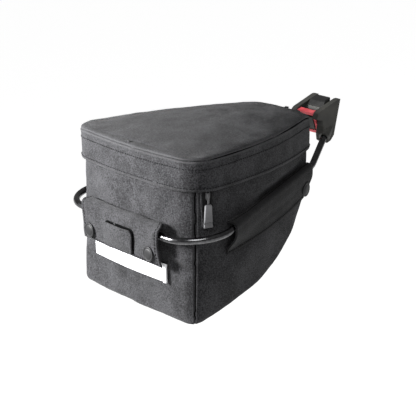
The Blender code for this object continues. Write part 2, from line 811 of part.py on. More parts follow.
def combine(target, other, operation):
    step = target.modifiers.new(other.name, "BOOLEAN")
    step.operation = operation
    step.solver = "EXACT"
    step.object = as_guide(other)


def cheek_profile():
    """Side profile of a cheek: prong tip, front edge, socket end, rear edge and arm."""
    front = [(PRONG_ROUNDING, 0.0), (ADAPTER_FRONT_HEIGHT - CHEEK_ROUNDING, 0.0),
             (ADAPTER_FRONT_HEIGHT, CHEEK_ROUNDING)]
    curve = [(ADAPTER_FRONT_HEIGHT * row["down"], CHEEK_DEPTH * row["back"]) for row in CHEEK_CURVE]
    arm = [(ARM_DEPTH, ARM_LENGTH), (PRONG_ROUNDING, ARM_LENGTH), (0.0, ARM_LENGTH - PRONG_ROUNDING),
           (0.0, CHEEK_ROUNDING)]
    return front + curve + arm


def lever_window_half():
    return ADAPTER_HALF_WIDTH - CHEEK_THICKNESS - HINGE_GAP - LEVER_LEG


def lever_box(name, low, high, parent):
    """A box in the lever's own lean, given round its pivot."""
    bm = bmesh.new()
    box_mesh(bm, low, high)
    bmesh.ops.rotate(bm, cent=(0, 0, 0), matrix=lever_turn, verts=bm.verts)
    item = bpy.data.objects.new(name, finish_mesh(bm, name))
    bpy.context.scene.collection.objects.link(item)
    item.parent = parent
    return item


def make_adapter(parent, finish):
    """Cheeks with prongs and arms, the saddle and seat plate, the core and the tube sockets."""
    inner = ADAPTER_HALF_WIDTH - CHEEK_THICKNESS
    body = prism("adapter_body", cheek_profile(), inner, ADAPTER_HALF_WIDTH, parent, CHEEK_FLARE)
    body.data.materials.append(finish)
    left = prism("cheek_guide", cheek_profile(), -inner, -ADAPTER_HALF_WIDTH, parent, -CHEEK_FLARE)
    combine(body, left, "UNION")
    reach = inner + CHEEK_THICKNESS / 2
    saddle_bottom = SADDLE_TOP + SADDLE_DEPTH
    web = [(SADDLE_TOP, PRONG_REACH), (SEAT_BOTTOM, PRONG_REACH), (SEAT_BOTTOM, PRONG_REACH + SEAT_PLATE),
           (saddle_bottom, PRONG_REACH + SEAT_PLATE), (saddle_bottom, SADDLE_BACK), (SADDLE_TOP, SADDLE_BACK)]
    combine(body, prism("web_guide", web, -reach, reach, parent), "UNION")
    core_half = lever_window_half() - HINGE_GAP
    core_low = LEVER_BAR - LEVER_DOWN + CORE_SWING
    core_high = LEVER_UP - LEVER_BAR - CORE_SWING
    frame = empty("core_place", lever_pivot, parent)
    core = lever_box("core_guide", (-core_half, -CORE_REAR, core_low),
                     (core_half, CORE_FRONT, core_high), frame)
    combine(body, core, "UNION")
    mouth, along = socket_axis()
    for sign in (1, -1):
        flip = Vector((sign, 1, 1))
        start = mouth * flip
        end = (mouth + along * (TUBE_GRIP + SOCKET_END)) * flip
        combine(body, cylinder(f"socket_guide_{sign}", start, end, SOCKET_RADIUS, parent), "UNION")
    swing = lever_box("swing_guide", (-inner, -LEVER_DEPTH, -LEVER_DOWN * 1.5),
                      (inner, LEVER_DEPTH * 1.5, core_low - CORE_SWING / 2), frame)
    combine(body, swing, "DIFFERENCE")
    for sign in (1, -1):
        flip = Vector((sign, 1, 1))
        start = (mouth - along * SOCKET_LEAD) * flip
        end = (mouth + along * (TUBE_GRIP + GAP)) * flip
        combine(body, cylinder(f"bore_guide_{sign}", start, end, TUBE_RADIUS + GAP, parent), "DIFFERENCE")
        pin_start = lever_pivot + Vector((sign * (inner - CUT_PAST), 0, 0))
        pin_end = lever_pivot + Vector((sign * (inner + LEVER_PIN_REACH + GAP), 0, 0))
        pin = cylinder(f"pin_guide_{sign}", pin_start, pin_end, LEVER_PIN_RADIUS + GAP, parent, PIN_SIDES)
        combine(body, pin, "DIFFERENCE")
    return body


def make_block(parent, finish):
    """The black latch block that stands on the saddle between the prongs."""
    bm = bmesh.new()
    seat = SADDLE_TOP - GAP
    back = SADDLE_BACK + BLOCK_OVERHANG

    def ring(down, taper):
        half = BLOCK_HALF_WIDTH - taper
        near = back - taper
        far = back - BLOCK_DEPTH + taper
        corners = ((near, -half), (near, half), (far, half), (far, -half))
        return [bm.verts.new(adapter_point(down, b, x)) for b, x in corners]

    rings = [ring(seat, 0.0), ring(seat - BLOCK_HEIGHT, BLOCK_TAPER)]
    bridge(bm, rings[0], rings[1])
    bm.faces.new(rings[0])
    bm.faces.new(rings[1])
    item = link("latch_block", finish_mesh(bm, "latch_block"), finish, parent)
    soften(item, BLOCK_EDGE)
    return item


def make_lever(parent, finish):
    """The release lever, modelled round its pivot: two bars, two legs and two pins."""
    hinge = empty("release_lever_axis", lever_pivot, parent)
    half = ADAPTER_HALF_WIDTH - CHEEK_THICKNESS - HINGE_GAP
    window = lever_window_half()
    deep = LEVER_DEPTH / 2
    lever = lever_box("release_lever", (-half, -deep, -LEVER_DOWN), (half, deep, LEVER_UP), hinge)
    lever.data.materials.append(finish)
    hole = lever_box("window_guide", (-window, -LEVER_DEPTH, LEVER_BAR - LEVER_DOWN),
                     (window, LEVER_DEPTH, LEVER_UP - LEVER_BAR), hinge)
    combine(lever, hole, "DIFFERENCE")
    reach = half + HINGE_GAP + LEVER_PIN_REACH
    for sign in (1, -1):
        start = Vector((sign * (half - LEVER_LEG / 2), 0, 0))
        end = Vector((sign * reach, 0, 0))
        pin = cylinder(f"lever_pin_guide_{sign}", start, end, LEVER_PIN_RADIUS, hinge, PIN_SIDES)
        combine(lever, pin, "UNION")
    return lever


def main():
    clear_scene()
    cloth = material("black_nylon", (0.022, 0.022, 0.025), 0.85)
    trim = material("black_webbing", (0.016, 0.016, 0.018), 0.8)
    steel = material("black_gloss_steel", (0.012, 0.012, 0.013), 0.22, 0.5)
    plastic = material("black_plastic", (0.03, 0.03, 0.032), 0.5)
    red = material("red_plastic", (0.55, 0.02, 0.03), 0.4)
    silver = material("reflective_silver", (0.78, 0.79, 0.80), 0.45, 0.1)
    cap_black = material("black_enamel", (0.014, 0.014, 0.016), 0.3, 0.2)
    zinc = material("dark_zinc", (0.03, 0.03, 0.032), 0.4, 0.7)
    grey = material("grey_plastic", (0.12, 0.12, 0.125), 0.4)

    bag = empty("bag_frame", -seat_centre)
    make_body(bag, cloth)
    make_lid(bag, cloth)
    make_flap(bag, cloth)
    make_strip(bag, silver)
    make_light_loop(bag, trim)
    make_tube(bag, steel)
    for side, sign in (("right", 1), ("left", -1)):
        make_sleeve(f"side_sleeve_{side}", sign, cloth, bag)
        make_snap(f"rear_snap_{side}", flap_face, sign * REAR_SNAP_X, REAR_SNAP_Z, 1, cap_black, bag)
        snap_z = tube_z(SIDE_SNAP_Y) - SIDE_SNAP_DROP
        make_snap(f"side_snap_{side}", lambda y, z, s=sign: sleeve_face(s, y, z),
                  SIDE_SNAP_Y, snap_z, sign, cap_black, bag)
    make_zip_parts(bag, zinc, grey)
    make_adapter(bag, plastic)
    make_block(bag, plastic)
    make_lever(bag, red)


main()
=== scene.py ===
"""Dressed model of a seatpost bag: woven nylon box, padded lid, steel tube loop and clip adapter.

Metres, +Z up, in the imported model's frame. The cloth pieces are worked out in the bag's own frame,
whose origin is at the bottom of the rear face's middle, and placed with BAG_ORIGIN.
"""
import math

import bmesh
import bpy
from mathutils import Matrix, Vector, noise


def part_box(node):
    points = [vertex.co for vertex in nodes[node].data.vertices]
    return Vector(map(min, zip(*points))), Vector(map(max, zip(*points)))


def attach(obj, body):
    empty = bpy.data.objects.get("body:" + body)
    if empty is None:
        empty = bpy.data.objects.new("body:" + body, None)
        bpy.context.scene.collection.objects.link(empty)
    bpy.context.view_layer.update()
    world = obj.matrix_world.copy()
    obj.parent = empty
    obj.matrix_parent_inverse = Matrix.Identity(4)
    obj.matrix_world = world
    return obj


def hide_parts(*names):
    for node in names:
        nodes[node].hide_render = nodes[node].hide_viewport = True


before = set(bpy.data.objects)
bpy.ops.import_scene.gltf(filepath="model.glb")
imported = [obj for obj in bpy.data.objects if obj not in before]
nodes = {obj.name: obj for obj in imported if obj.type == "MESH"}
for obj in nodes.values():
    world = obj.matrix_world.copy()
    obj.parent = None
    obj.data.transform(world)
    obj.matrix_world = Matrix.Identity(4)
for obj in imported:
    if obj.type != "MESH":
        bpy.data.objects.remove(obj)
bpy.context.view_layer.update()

# The bag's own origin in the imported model's frame
BAG_ORIGIN = Vector((0, -0.24939, -0.159151))

# Camera of the photograph, in the bag's frame
CAMERA_AZIMUTH = 50.38
CAMERA_ELEVATION = 17.0
CAMERA_DISTANCE = 1.44102
CAMERA_TARGET = Vector((0, 0.0936, 0.07967))
FOCAL_PIXELS = 1412.2
IMAGE_PIXELS = 416
SENSOR_MM = 36.0

# Body of the bag
BODY_LENGTH = 0.2015
REAR_HALF_WIDTH = 0.0945
FRONT_HALF_WIDTH = 0.0330
BODY_HEIGHT = 0.1536
REAR_CORNER = 0.0220
FRONT_CORNER = 0.0090
SIDE_BULGE = 0.0150
REAR_BULGE = 0.0085
BOTTOM_RISE = 0.0405
BOTTOM_SWEEP = 0.0585
BOTTOM_SWEEP_POWER = 4.8
BOTTOM_ROUNDING = 0.0050
FABRIC = 0.0022
GAP = 0.0003
BODY_SECTIONS = [
    {"height": 0.00, "width": 0.985, "corner": 0.60, "side": 0.88, "rear": 0.35},
    {"height": 0.25, "width": 0.992, "corner": 0.80, "side": 1.00, "rear": 0.75},
    {"height": 0.60, "width": 1.000, "corner": 1.00, "side": 1.00, "rear": 1.00},
    {"height": 1.00, "width": 0.998, "corner": 1.12, "side": 0.98, "rear": 0.90},
]

# Lid
LID_HEIGHT = 0.1644
LID_RISE = 0.0050
LID_CROWN = 0.0058
LID_NOSE_LENGTH = 0.0220
LID_NOSE_DROP = 0.0038
SKIRT_HEIGHT = 0.0310
SKIRT_BOTTOM = LID_HEIGHT - SKIRT_HEIGHT
SKIRT_SPREAD = 0.0010
LID_TOP_CORNER = 0.75
LID_SEAM_START = 0.010
LID_SKIRT_ROWS = 20
LID_HEM_SWELL = 0.0005
CROWN_POWER = 2.6
CROWN_LEAST_HALF = 0.004
# Rows of stitches below the lid's top seam and above the skirt's hem
TOPSTITCH_DROP = 0.0095
HEM_STITCH_RISE = 0.0028

# Tube loop
TUBE_RADIUS = 0.0035
TUBE_REAR = Vector((0.1230, -0.0136, 0.0868))
TUBE_FRONT = Vector((0.0380, 0.2025, 0.1134))
TUBE_SOCKET = Vector((0.0235, 0.2332, 0.1361))
TUBE_CORNER_RADIUS = 0.0380
TUBE_FRONT_RADIUS = 0.0180
TUBE_GRIP = 0.0108
TUBE_GAP = 0.0005
DENT_REACH = 0.0180
DENT_FLAT = 0.4

# Rear flap, light loop, reflective strip and snaps
FLAP_HALF_WIDTH = 0.0620
FLAP_CLOTH = 0.0018
FLAP_LENGTH = 0.0600
FLAP_PROBE = 0.02
FLAP_STITCH_MARGIN = 0.0032
FLAP_HEM_SHARE = 0.95
FLAP_ROWS = [
    {"rise": 2.00, "stand": 0.00},
    {"rise": 2.60, "stand": 0.10},
    {"rise": 2.85, "stand": 0.32},
    {"rise": 2.70, "stand": 0.62},
    {"rise": 2.20, "stand": 0.86},
    {"rise": 1.35, "stand": 1.00},
    {"rise": -1.80, "stand": 1.00},
    {"rise": -4.20, "stand": 0.94},
    {"rise": -6.60, "stand": 0.86},
    {"rise": -8.60, "stand": 0.74},
]
STRIP_HALF_WIDTH = 0.0580
STRIP_BOTTOM = 0.0376
STRIP_HEIGHT = 0.0185
STRIP_CLOTH = 0.0010
LOOP_HALF_WIDTH = 0.0225
LOOP_BOTTOM = 0.0600
LOOP_HEIGHT = 0.0240
LOOP_CLOTH = 0.0014
LOOP_STAND = 0.0024
LOOP_CORNER = 0.0055
# Margin and room of the near-black sheet that paints the shade behind the light loop
SHADE_SHEET_MARGIN = 0.0013
SHADE_SHEET_ROOM = 0.0006
SNAP_RADIUS = 0.0076
SNAP_HEIGHT = 0.0030

# Side sleeves
SLEEVE_CLOTH = 0.0016
SLEEVE_START = 0.0400
SLEEVE_END = 0.1960
SLEEVE_DOWN = 0.0280
SLEEVE_COLUMNS = 100
SLEEVE_STITCH_ROW = 3
SLEEVE_TOP = [
    {"rise": 0.00, "stand": 1.00},
    {"rise": 0.45, "stand": 1.00},
    {"rise": 0.80, "stand": 0.93},
    {"rise": 1.00, "stand": 0.75},
    {"rise": 1.05, "stand": 0.50},
    {"rise": 1.05, "stand": 0.05},
]

# Zip at the right rear corner
ZIP_ANGLE = 75.0
ZIP_HALF_WIDTH = 0.0056
ZIP_HEIGHT = 0.0385
PULL_WIDTH = 0.0082
PULL_LENGTH = 0.0225
PULL_THICKNESS = 0.0018
SLIDER_WIDTH = 0.0046
SLIDER_HEIGHT = 0.0125
SLIDER_DEPTH = 0.0034

# Mesh density
REAR_STEPS = 34
CORNER_STEPS = 20
SIDE_STEPS = 84
FRONT_CORNER_STEPS = 8
FRONT_STEPS = 8
BODY_ROWS = 72
CAP_COLUMNS = 64
SLEEVE_STEPS = 30
SLEEVE_TOP_STEPS = 20

REARWARDS = Vector((0, -1, 0))
ROUND_HANDLE = 0.56
WELD_DISTANCE = 0.00002
STITCH_LIFT = 0.0001

# Thread, and the near-black cords that paint the shade in the seam grooves
STITCH_PITCH = 0.0032
STITCH_LENGTH = 0.0021
STITCH_RADIUS = 0.00042
STITCH_SIDES = 6
STITCH_PROFILE = [(-0.5, 0.35), (-0.32, 1.0), (0.32, 1.0), (0.5, 0.35)]
SEAM_SHADE_RADIUS = 0.00065
SEAM_SHADE_STEPS = 60
LID_SEAM_SHADE_RADIUS = 0.0008

# Stage
FLOOR_SIZE = 40.0
FLOOR_Z = -0.85
FLOOR_GLOW = 0.78
SKY_STRENGTH = 0.22


def mix(low, high, share):
    return low + (high - low) * share


def clamp(value, low=0.0, high=1.0):
    return max(low, min(high, value))


def smooth(share):
    share = clamp(share)
    return share * share * (3 - 2 * share)


def eased(rows, key, share):
    """A table's value at a share of its run, on a smooth curve through its rows."""
    spot = clamp(share) * (len(rows) - 1)
    index = min(int(spot), len(rows) - 2)
    part = spot - index
    a, b, c, d = (rows[max(0, min(len(rows) - 1, index + k))][key] for k in (-1, 0, 1, 2))
    return 0.5 * (2 * b + (c - a) * part + (2 * a - 5 * b + 4 * c - d) * part ** 2
                  + (3 * b - a - 3 * c + d) * part ** 3)


# Shape of the bag, in its own frame

def section_at(share):
    """The body's section at a share of its height."""
    for low, high in zip(BODY_SECTIONS, BODY_SECTIONS[1:]):
        if share <= high["height"]:
            part = clamp((share - low["height"]) / (high["height"] - low["height"]))
            return {key: mix(low[key], high[key], part) for key in low}
    return dict(BODY_SECTIONS[-1])


def bottom_z(y):
    share = max(0.0, y) / BODY_LENGTH
    return BOTTOM_RISE * share + BOTTOM_SWEEP * share ** BOTTOM_SWEEP_POWER


def bezier(start, handle_a, handle_b, end, share):
    rest = 1 - share
    return (start * rest ** 3 + handle_a * 3 * rest ** 2 * share
            + handle_b * 3 * rest * share ** 2 + end * share ** 3)


def rounded(start, corner, end, steps):
    """A rounded corner from start up to, but not with, its end."""
    handle_a = start.lerp(corner, ROUND_HANDLE)
    handle_b = end.lerp(corner, ROUND_HANDLE)
    return [bezier(start, handle_a, handle_b, end, i / steps) for i in range(steps)]


def half_outline(section):
    """Right half of the bag's plan, from the middle of the rear to the middle of the front."""
    half_width = REAR_HALF_WIDTH * section["width"]
    corner = REAR_CORNER * section["corner"]
    side_bulge = SIDE_BULGE * section["side"]
    rear_bulge = REAR_BULGE * section["rear"]

    def rear(x):
        return Vector((x, -rear_bulge * (1 - (x / half_width) ** 2)))

    def side(share):
        x = mix(half_width, FRONT_HALF_WIDTH, share) + 4 * side_bulge * share * (1 - share)
        return Vector((x, BODY_LENGTH * share))

    rear_end = half_width - corner
    first = corner / BODY_LENGTH
    last = 1 - FRONT_CORNER / BODY_LENGTH
    front_end = Vector((FRONT_HALF_WIDTH - FRONT_CORNER, BODY_LENGTH))
    points = [rear(rear_end * i / REAR_STEPS) for i in range(REAR_STEPS)]
    points += rounded(rear(rear_end), Vector((half_width, 0)), side(first), CORNER_STEPS)
    points += [side(mix(first, last, i / SIDE_STEPS)) for i in range(SIDE_STEPS)]
    points += rounded(side(last), Vector((FRONT_HALF_WIDTH, BODY_LENGTH)), front_end, FRONT_CORNER_STEPS)
    points += [Vector((front_end.x * (1 - i / FRONT_STEPS), BODY_LENGTH)) for i in range(FRONT_STEPS + 1)]
    return points


def inset(points, distance):
    """The half outline moved inwards, by one distance or by one for each point."""
    moved = []
    for index, point in enumerate(points):
        before = points[index - 1] if index else Vector((-points[1].x, points[1].y))
        after = points[index + 1] if index + 1 < len(points) else Vector((-points[-2].x, points[-2].y))
        along = (after - before).normalized()
        inward = Vector((-along.y, along.x))
        moved.append(point + inward * (distance[index] if isinstance(distance, list) else distance))
    moved[0].x = 0.0
    moved[-1].x = 0.0
    return moved


def tube_share(y):
    return (y - TUBE_REAR.y) / (TUBE_FRONT.y - TUBE_REAR.y)


def tube_z(y):
    return mix(TUBE_REAR.z, TUBE_FRONT.z, tube_share(y))


def tube_x(y):
    return mix(TUBE_REAR.x, TUBE_FRONT.x, tube_share(y))


def plateau(offset, flat):
    """One up to the flat's end, then an even fall to nothing at an offset of one."""
    fall = clamp((offset - flat) / (1 - flat))
    return math.cos(fall * math.pi / 2) ** 2


def dented(x, y, z):
    """The side's x where the tube presses it in."""
    if y < REAR_CORNER:
        return x
    limit = tube_x(y) - TUBE_RADIUS - TUBE_GAP
    if x <= limit:
        return x
    return x - (x - limit) * plateau(abs(z - tube_z(y)) / DENT_REACH, DENT_FLAT)


def plain_side_x(y, width=1.0, side=1.0):
    along = clamp(y / BODY_LENGTH)
    return mix(REAR_HALF_WIDTH * width, FRONT_HALF_WIDTH, along) + 4 * SIDE_BULGE * side * along * (1 - along)


def side_x(y, z):
    low = bottom_z(y)
    section = section_at(clamp((z - low) / (BODY_HEIGHT - low)))
    return dented(plain_side_x(y, section["width"], section["side"]), y, z)


def rear_y(x, z):
    section = section_at(clamp(z / BODY_HEIGHT))
    half_width = REAR_HALF_WIDTH * section["width"]
    return -REAR_BULGE * section["rear"] * (1 - (x / half_width) ** 2)


# Mesh tools

def mark_wear(bm):
    """Notes on each vertex how far it stands out from its neighbours, for rubbed edges."""
    layer = bm.verts.layers.float.new("wear")
    bm.normal_update()
    for vert in bm.verts:
        bend = 0.0
        for edge in vert.link_edges:
            way = edge.other_vert(vert).co - vert.co
            bend -= way.dot(vert.normal) / max(way.length_squared, 1e-8)
        vert[layer] = clamp(bend / max(1, len(vert.link_edges)) / 260)


def add_object(name, data):
    made = bpy.data.objects.new(name, data)
    bpy.context.scene.collection.objects.link(made)
    return made


def finish_piece(bm, name, material, flip=True):
    """Turns a mesh into a dressed piece on the bag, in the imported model's frame."""
    if flip:
        bmesh.ops.recalc_face_normals(bm, faces=bm.faces)
    mark_wear(bm)
    bmesh.ops.translate(bm, verts=bm.verts, vec=BAG_ORIGIN)
    mesh = bpy.data.meshes.new(name)
    bm.to_mesh(mesh)
    bm.free()
    mesh.shade_smooth()
    piece = add_object(name, mesh)
    mesh.materials.append(material)
    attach(piece, "bag")
    return piece


def add_quad(bm, uv_layer, verts, uvs):
    face = bm.faces.new(verts)
    for loop, uv in zip(face.loops, uvs):
        loop[uv_layer].uv = uv


def loft(bm, rings):
    """Joins closed rings of points with quads, with UVs in metres along the cloth."""
    layer = bm.loops.layers.uv.verify()
    verts = [[bm.verts.new(p) for p in ring] for ring in rings]
    count = len(rings[0])
    around = [0.0]
    for i in range(count):
        around.append(around[-1] + (rings[-1][(i + 1) % count] - rings[-1][i]).length)
    height = 0.0
    for row in range(len(rings) - 1):
        rise = (rings[row + 1][0] - rings[row][0]).length
        for i in range(count):
            j = (i + 1) % count
            add_quad(bm, layer, (verts[row][i], verts[row][j], verts[row + 1][j], verts[row + 1][i]),
                     ((around[i], height), (around[i + 1], height),
                      (around[i + 1], height + rise), (around[i], height + rise)))
        height += rise
    return verts


def cap(bm, ring, columns, z_of):
    """Fills a ring of vertices with rows that run across the bag."""
    layer = bm.loops.layers.uv.verify()
    half = len(ring) // 2
    rows = []
    for i in range(1, half):
        right = ring[i]
        left = ring[-i]
        row = [right]
        for j in range(1, columns):
            x = mix(right.co.x, left.co.x, j / columns)
            row.append(bm.verts.new((x, right.co.y, z_of(x, right.co.y, right.co.x, right.co.z))))
        row.append(left)
        rows.append(row)

    def face(verts):
        made = bm.faces.new(verts)
        for loop in made.loops:
            loop[layer].uv = loop.vert.co.xy

    for j in range(columns):
        face((ring[0], rows[0][j], rows[0][j + 1]))
        face((ring[half], rows[-1][j + 1], rows[-1][j]))
    for low, high in zip(rows, rows[1:]):
        for j in range(columns):
            face((low[j], high[j], high[j + 1], low[j + 1]))


def mirrored_ring(half, z_of):
    right = [Vector((p.x, p.y, z_of(p))) for p in half]
    left = [Vector((-p.x, p.y, z_of(p))) for p in half[-2:0:-1]]
    return right + left


def crease_depth(point, creases):
    """Sum of the listed creases near a point: each is a soft valley or ridge along a line."""
    total = 0.0
    for start, end, width, depth in creases:
        start = Vector(start)
        run = Vector(end) - start
        share = clamp((point - start).dot(run) / run.length_squared)
        away = (point - start - run * share).length
        if away < 3 * width:
            fade = math.sin(math.pi * clamp(share, 0.04, 0.96)) ** 0.5
            total += depth * fade * math.exp(-(away / width) ** 2)
    return total


def crumple(bm, amount, size, creases=(), keep=None):
    """Moves the cloth along its normals by soft noise and by its creases."""
    bmesh.ops.recalc_face_normals(bm, faces=bm.faces)
    bm.normal_update()
    for vert in bm.verts:
        hold = keep(vert.co) if keep else 1.0
        wave = noise.fractal(vert.co / size, 1.0, 2.1, 3) * amount
        vert.co += vert.normal * (hold * (wave + crease_depth(vert.co, creases)))


def thicken(piece, thickness):
    """Gives the cloth its thickness, inwards from its outer face."""
    wall = piece.modifiers.new("cloth", "SOLIDIFY")
    wall.thickness = thickness
    wall.offset = -1
    wall.use_quality_normals = True


def bevelled(piece, width, angle=34, segments=3):
    """Rounds a piece's sharp edges."""
    weld = piece.modifiers.new("weld", "WELD")
    weld.merge_threshold = WELD_DISTANCE
    edge = piece.modifiers.new("edge", "BEVEL")
    edge.width = width
    edge.segments = segments
    edge.limit_method = "ANGLE"
    edge.angle_limit = math.radians(angle)
    edge.harden_normals = True


def tube_piece(name, route, radius, material, resolution):
    """A round rod or cord along a route."""
    curve = bpy.data.curves.new(name, "CURVE")
    curve.dimensions = "3D"
    curve.bevel_depth = radius
    curve.bevel_resolution = resolution
    curve.use_fill_caps = True
    spline = curve.splines.new("POLY")
    spline.points.add(len(route) - 1)
    for spot, point in zip(spline.points, route):
        spot.co = (*(point + BAG_ORIGIN), 1.0)
    spline.use_smooth = True
    piece = add_object(name, curve)
    curve.materials.append(material)
    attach(piece, "bag")
    return piece


def on_surface(piece, route, lift):
    """The route laid on a piece's surface, lifted off it along the normal."""
    laid = []
    for point in route:
        found, where, normal, _ = piece.closest_point_on_mesh(point + BAG_ORIGIN)
        laid.append((where + normal * lift - BAG_ORIGIN) if found else point)
    return laid


def even_places(route, pitch):
    """Points and directions at an even pitch along a route."""
    places = []
    carried = pitch / 2
    for start, end in zip(route, route[1:]):
        length = (end - start).length
        if length < 1e-7:
            continue
        direction = (end - start) / length
        while carried <= length:
            places.append((start + direction * carried, direction))
            carried += pitch
        carried -= length
    return places


def stitch_row(name, route, pitch=STITCH_PITCH, length=STITCH_LENGTH, radius=STITCH_RADIUS):
    """A row of short thread stitches along a route."""
    bm = bmesh.new()
    for place, direction in even_places(route, pitch):
        turn = direction.to_track_quat("Z", "Y").to_matrix()
        rings = []
        for share, swell in STITCH_PROFILE:
            wide = radius * swell
            ring = []
            for i in range(STITCH_SIDES):
                angle = 2 * math.pi * i / STITCH_SIDES
                spot = Vector((wide * math.cos(angle), wide * math.sin(angle), length * share))
                ring.append(bm.verts.new(place + turn @ spot))
            rings.append(ring)
        for low, high in zip(rings, rings[1:]):
            for i in range(STITCH_SIDES):
                j = (i + 1) % STITCH_SIDES
                bm.faces.new((low[i], low[j], high[j], high[i]))
        bm.faces.new(rings[0][::-1])
        bm.faces.new(rings[-1])
    finish_piece(bm, name, THREAD, flip=False)


def face_towards(bm, outward):
    """Turns all the faces so that on the whole they look outwards."""
    bmesh.ops.recalc_face_normals(bm, faces=bm.faces)
    if sum(face.normal.dot(outward) * face.calc_area() for face in bm.faces) < 0:
        bmesh.ops.reverse_faces(bm, faces=bm.faces)


def cloth_sheet(name, rows, columns, point, material, uv, outward, amount=0.0, size=0.02, creases=()):
    """A sheet from a grid of points on its outer face, its UVs in metres."""
    bm = bmesh.new()
    layer = bm.loops.layers.uv.verify()
    grid = [[bm.verts.new(point(i / rows, j / columns)) for j in range(columns + 1)] for i in range(rows + 1)]
    for i in range(rows):
        for j in range(columns):
            add_quad(bm, layer, (grid[i][j], grid[i][j + 1], grid[i + 1][j + 1], grid[i + 1][j]),
                     (uv(i / rows, j / columns), uv(i / rows, (j + 1) / columns),
                      uv((i + 1) / rows, (j + 1) / columns), uv((i + 1) / rows, j / columns)))
    if amount or creases:
        crumple(bm, amount, size, creases)
    face_towards(bm, outward)
    return finish_piece(bm, name, material, flip=False)


# Materials

def start_material(name, colour, roughness, metallic=0.0):
    made = bpy.data.materials.new(name)
    made.use_nodes = True
    shader = made.node_tree.nodes["Principled BSDF"]
    shader.inputs["Base Color"].default_value = (*colour, 1.0)
    shader.inputs["Roughness"].default_value = roughness
    shader.inputs["Metallic"].default_value = metallic
    return made, made.node_tree, shader


def feed(tree, socket, value):
    if hasattr(value, "links"):
        tree.links.new(value, socket)
    else:
        socket.default_value = value


def node(tree, kind, **inputs):
    made = tree.nodes.new(kind)
    for name, value in inputs.items():
        feed(tree, made.inputs[name.replace("_", " ")], value)
    return made


def maths(tree, operation, first, second):
    made = tree.nodes.new("ShaderNodeMath")
    made.operation = operation
    feed(tree, made.inputs[0], first)
    feed(tree, made.inputs[1], second)
    return made.outputs[0]


def speckle(tree, place, scale, detail=3.0, roughness=0.6):
    return node(tree, "ShaderNodeTexNoise", Vector=place, Scale=scale, Detail=detail,
                Roughness=roughness).outputs["Fac"]


def ramp(tree, factor, stops):
    made = tree.nodes.new("ShaderNodeValToRGB")
    tree.links.new(factor, made.inputs["Fac"])
    elements = made.color_ramp.elements
    while len(elements) < len(stops):
        elements.new(0.5)
    for element, (place, colour) in zip(elements, stops):
        element.position = place
        element.color = (*colour, 1.0)
    return made.outputs["Color"]


def bump(tree, shader, height, distance, strength):
    made = node(tree, "ShaderNodeBump", Height=height, Distance=distance, Strength=strength)
    tree.links.new(made.outputs["Normal"], shader.inputs["Normal"])


def worn(tree, colour, rubbed, amount):
    """The colour mixed towards a paler one where the piece's edges are rubbed."""
    wear = node(tree, "ShaderNodeAttribute")
    wear.attribute_name = "wear"
    blend = tree.nodes.new("ShaderNodeMix")
    blend.data_type = "RGBA"
    feed(tree, blend.inputs[0], maths(tree, "MULTIPLY", wear.outputs["Fac"], amount))
    tree.links.new(colour, blend.inputs[6])
    blend.inputs[7].default_value = (*rubbed, 1.0)
    return blend.outputs[2]


def woven(name, dark, light, rubbed, thread, roughness=0.85, sheen=0.05):
    """Plain woven cloth: threads over and under, mottled colour, fine fluff and rubbed edges."""
    made, tree, shader = start_material(name, dark, roughness)
    uv = node(tree, "ShaderNodeUVMap").outputs["UV"]
    place = node(tree, "ShaderNodeTexCoord").outputs["Object"]
    split = node(tree, "ShaderNodeSeparateXYZ", Vector=uv)
    turn = math.pi / thread
    across = maths(tree, "SINE", maths(tree, "MULTIPLY", split.outputs["X"], turn), 0.0)
    along = maths(tree, "SINE", maths(tree, "MULTIPLY", split.outputs["Y"], turn), 0.0)
    weave = maths(tree, "MULTIPLY", across, along)
    mottle = speckle(tree, place, 38.0)
    grain = speckle(tree, place, 760.0, 2.0, 0.7)
    tone = maths(tree, "ADD", maths(tree, "MULTIPLY", mottle, 0.3), maths(tree, "MULTIPLY", grain, 0.7))
    tone = maths(tree, "ADD", tone, maths(tree, "MULTIPLY", weave, 0.05))
    colour = ramp(tree, tone, [(0.42, dark), (0.60, light)])
    tree.links.new(worn(tree, colour, rubbed, 0.6), shader.inputs["Base Color"])
    height = maths(tree, "ADD", maths(tree, "MULTIPLY", weave, 0.5), grain)
    bump(tree, shader, height, 0.0004, 0.6)
    shader.inputs["Sheen Weight"].default_value = sheen
    shader.inputs["Sheen Roughness"].default_value = 0.5
    shader.inputs["Specular IOR Level"].default_value = 0.12
    return made


def moulded(name, colour, pale, roughness, scale=900.0, depth=0.00012, gloss=0.4):
    """Moulded plastic with a fine grain and slightly paler, duller patches."""
    made, tree, shader = start_material(name, colour, roughness)
    place = node(tree, "ShaderNodeTexCoord").outputs["Object"]
    mottle = speckle(tree, place, 70.0)
    grain = speckle(tree, place, scale, 2.0)
    tree.links.new(ramp(tree, mottle, [(0.35, colour), (0.75, pale)]), shader.inputs["Base Color"])
    rough = maths(tree, "ADD", maths(tree, "MULTIPLY", mottle, 0.25), roughness - 0.12)
    tree.links.new(rough, shader.inputs["Roughness"])
    bump(tree, shader, grain, depth, 0.5)
    shader.inputs["Specular IOR Level"].default_value = gloss
    return made


def coated_steel(name):
    """Glossy black coating over steel rod, with faint ripples and dust."""
    made, tree, shader = start_material(name, (0.10, 0.10, 0.105), 0.2, 1.0)
    place = node(tree, "ShaderNodeTexCoord").outputs["Object"]
    dust = speckle(tree, place, 260.0)
    tree.links.new(ramp(tree, dust, [(0.40, (0.060, 0.060, 0.062)), (0.75, (0.110, 0.110, 0.114))]),
                   shader.inputs["Base Color"])
    rough = maths(tree, "ADD", maths(tree, "MULTIPLY", dust, 0.16), 0.12)
    tree.links.new(rough, shader.inputs["Roughness"])
    bump(tree, shader, speckle(tree, place, 90.0), 0.0002, 0.25)
    return made


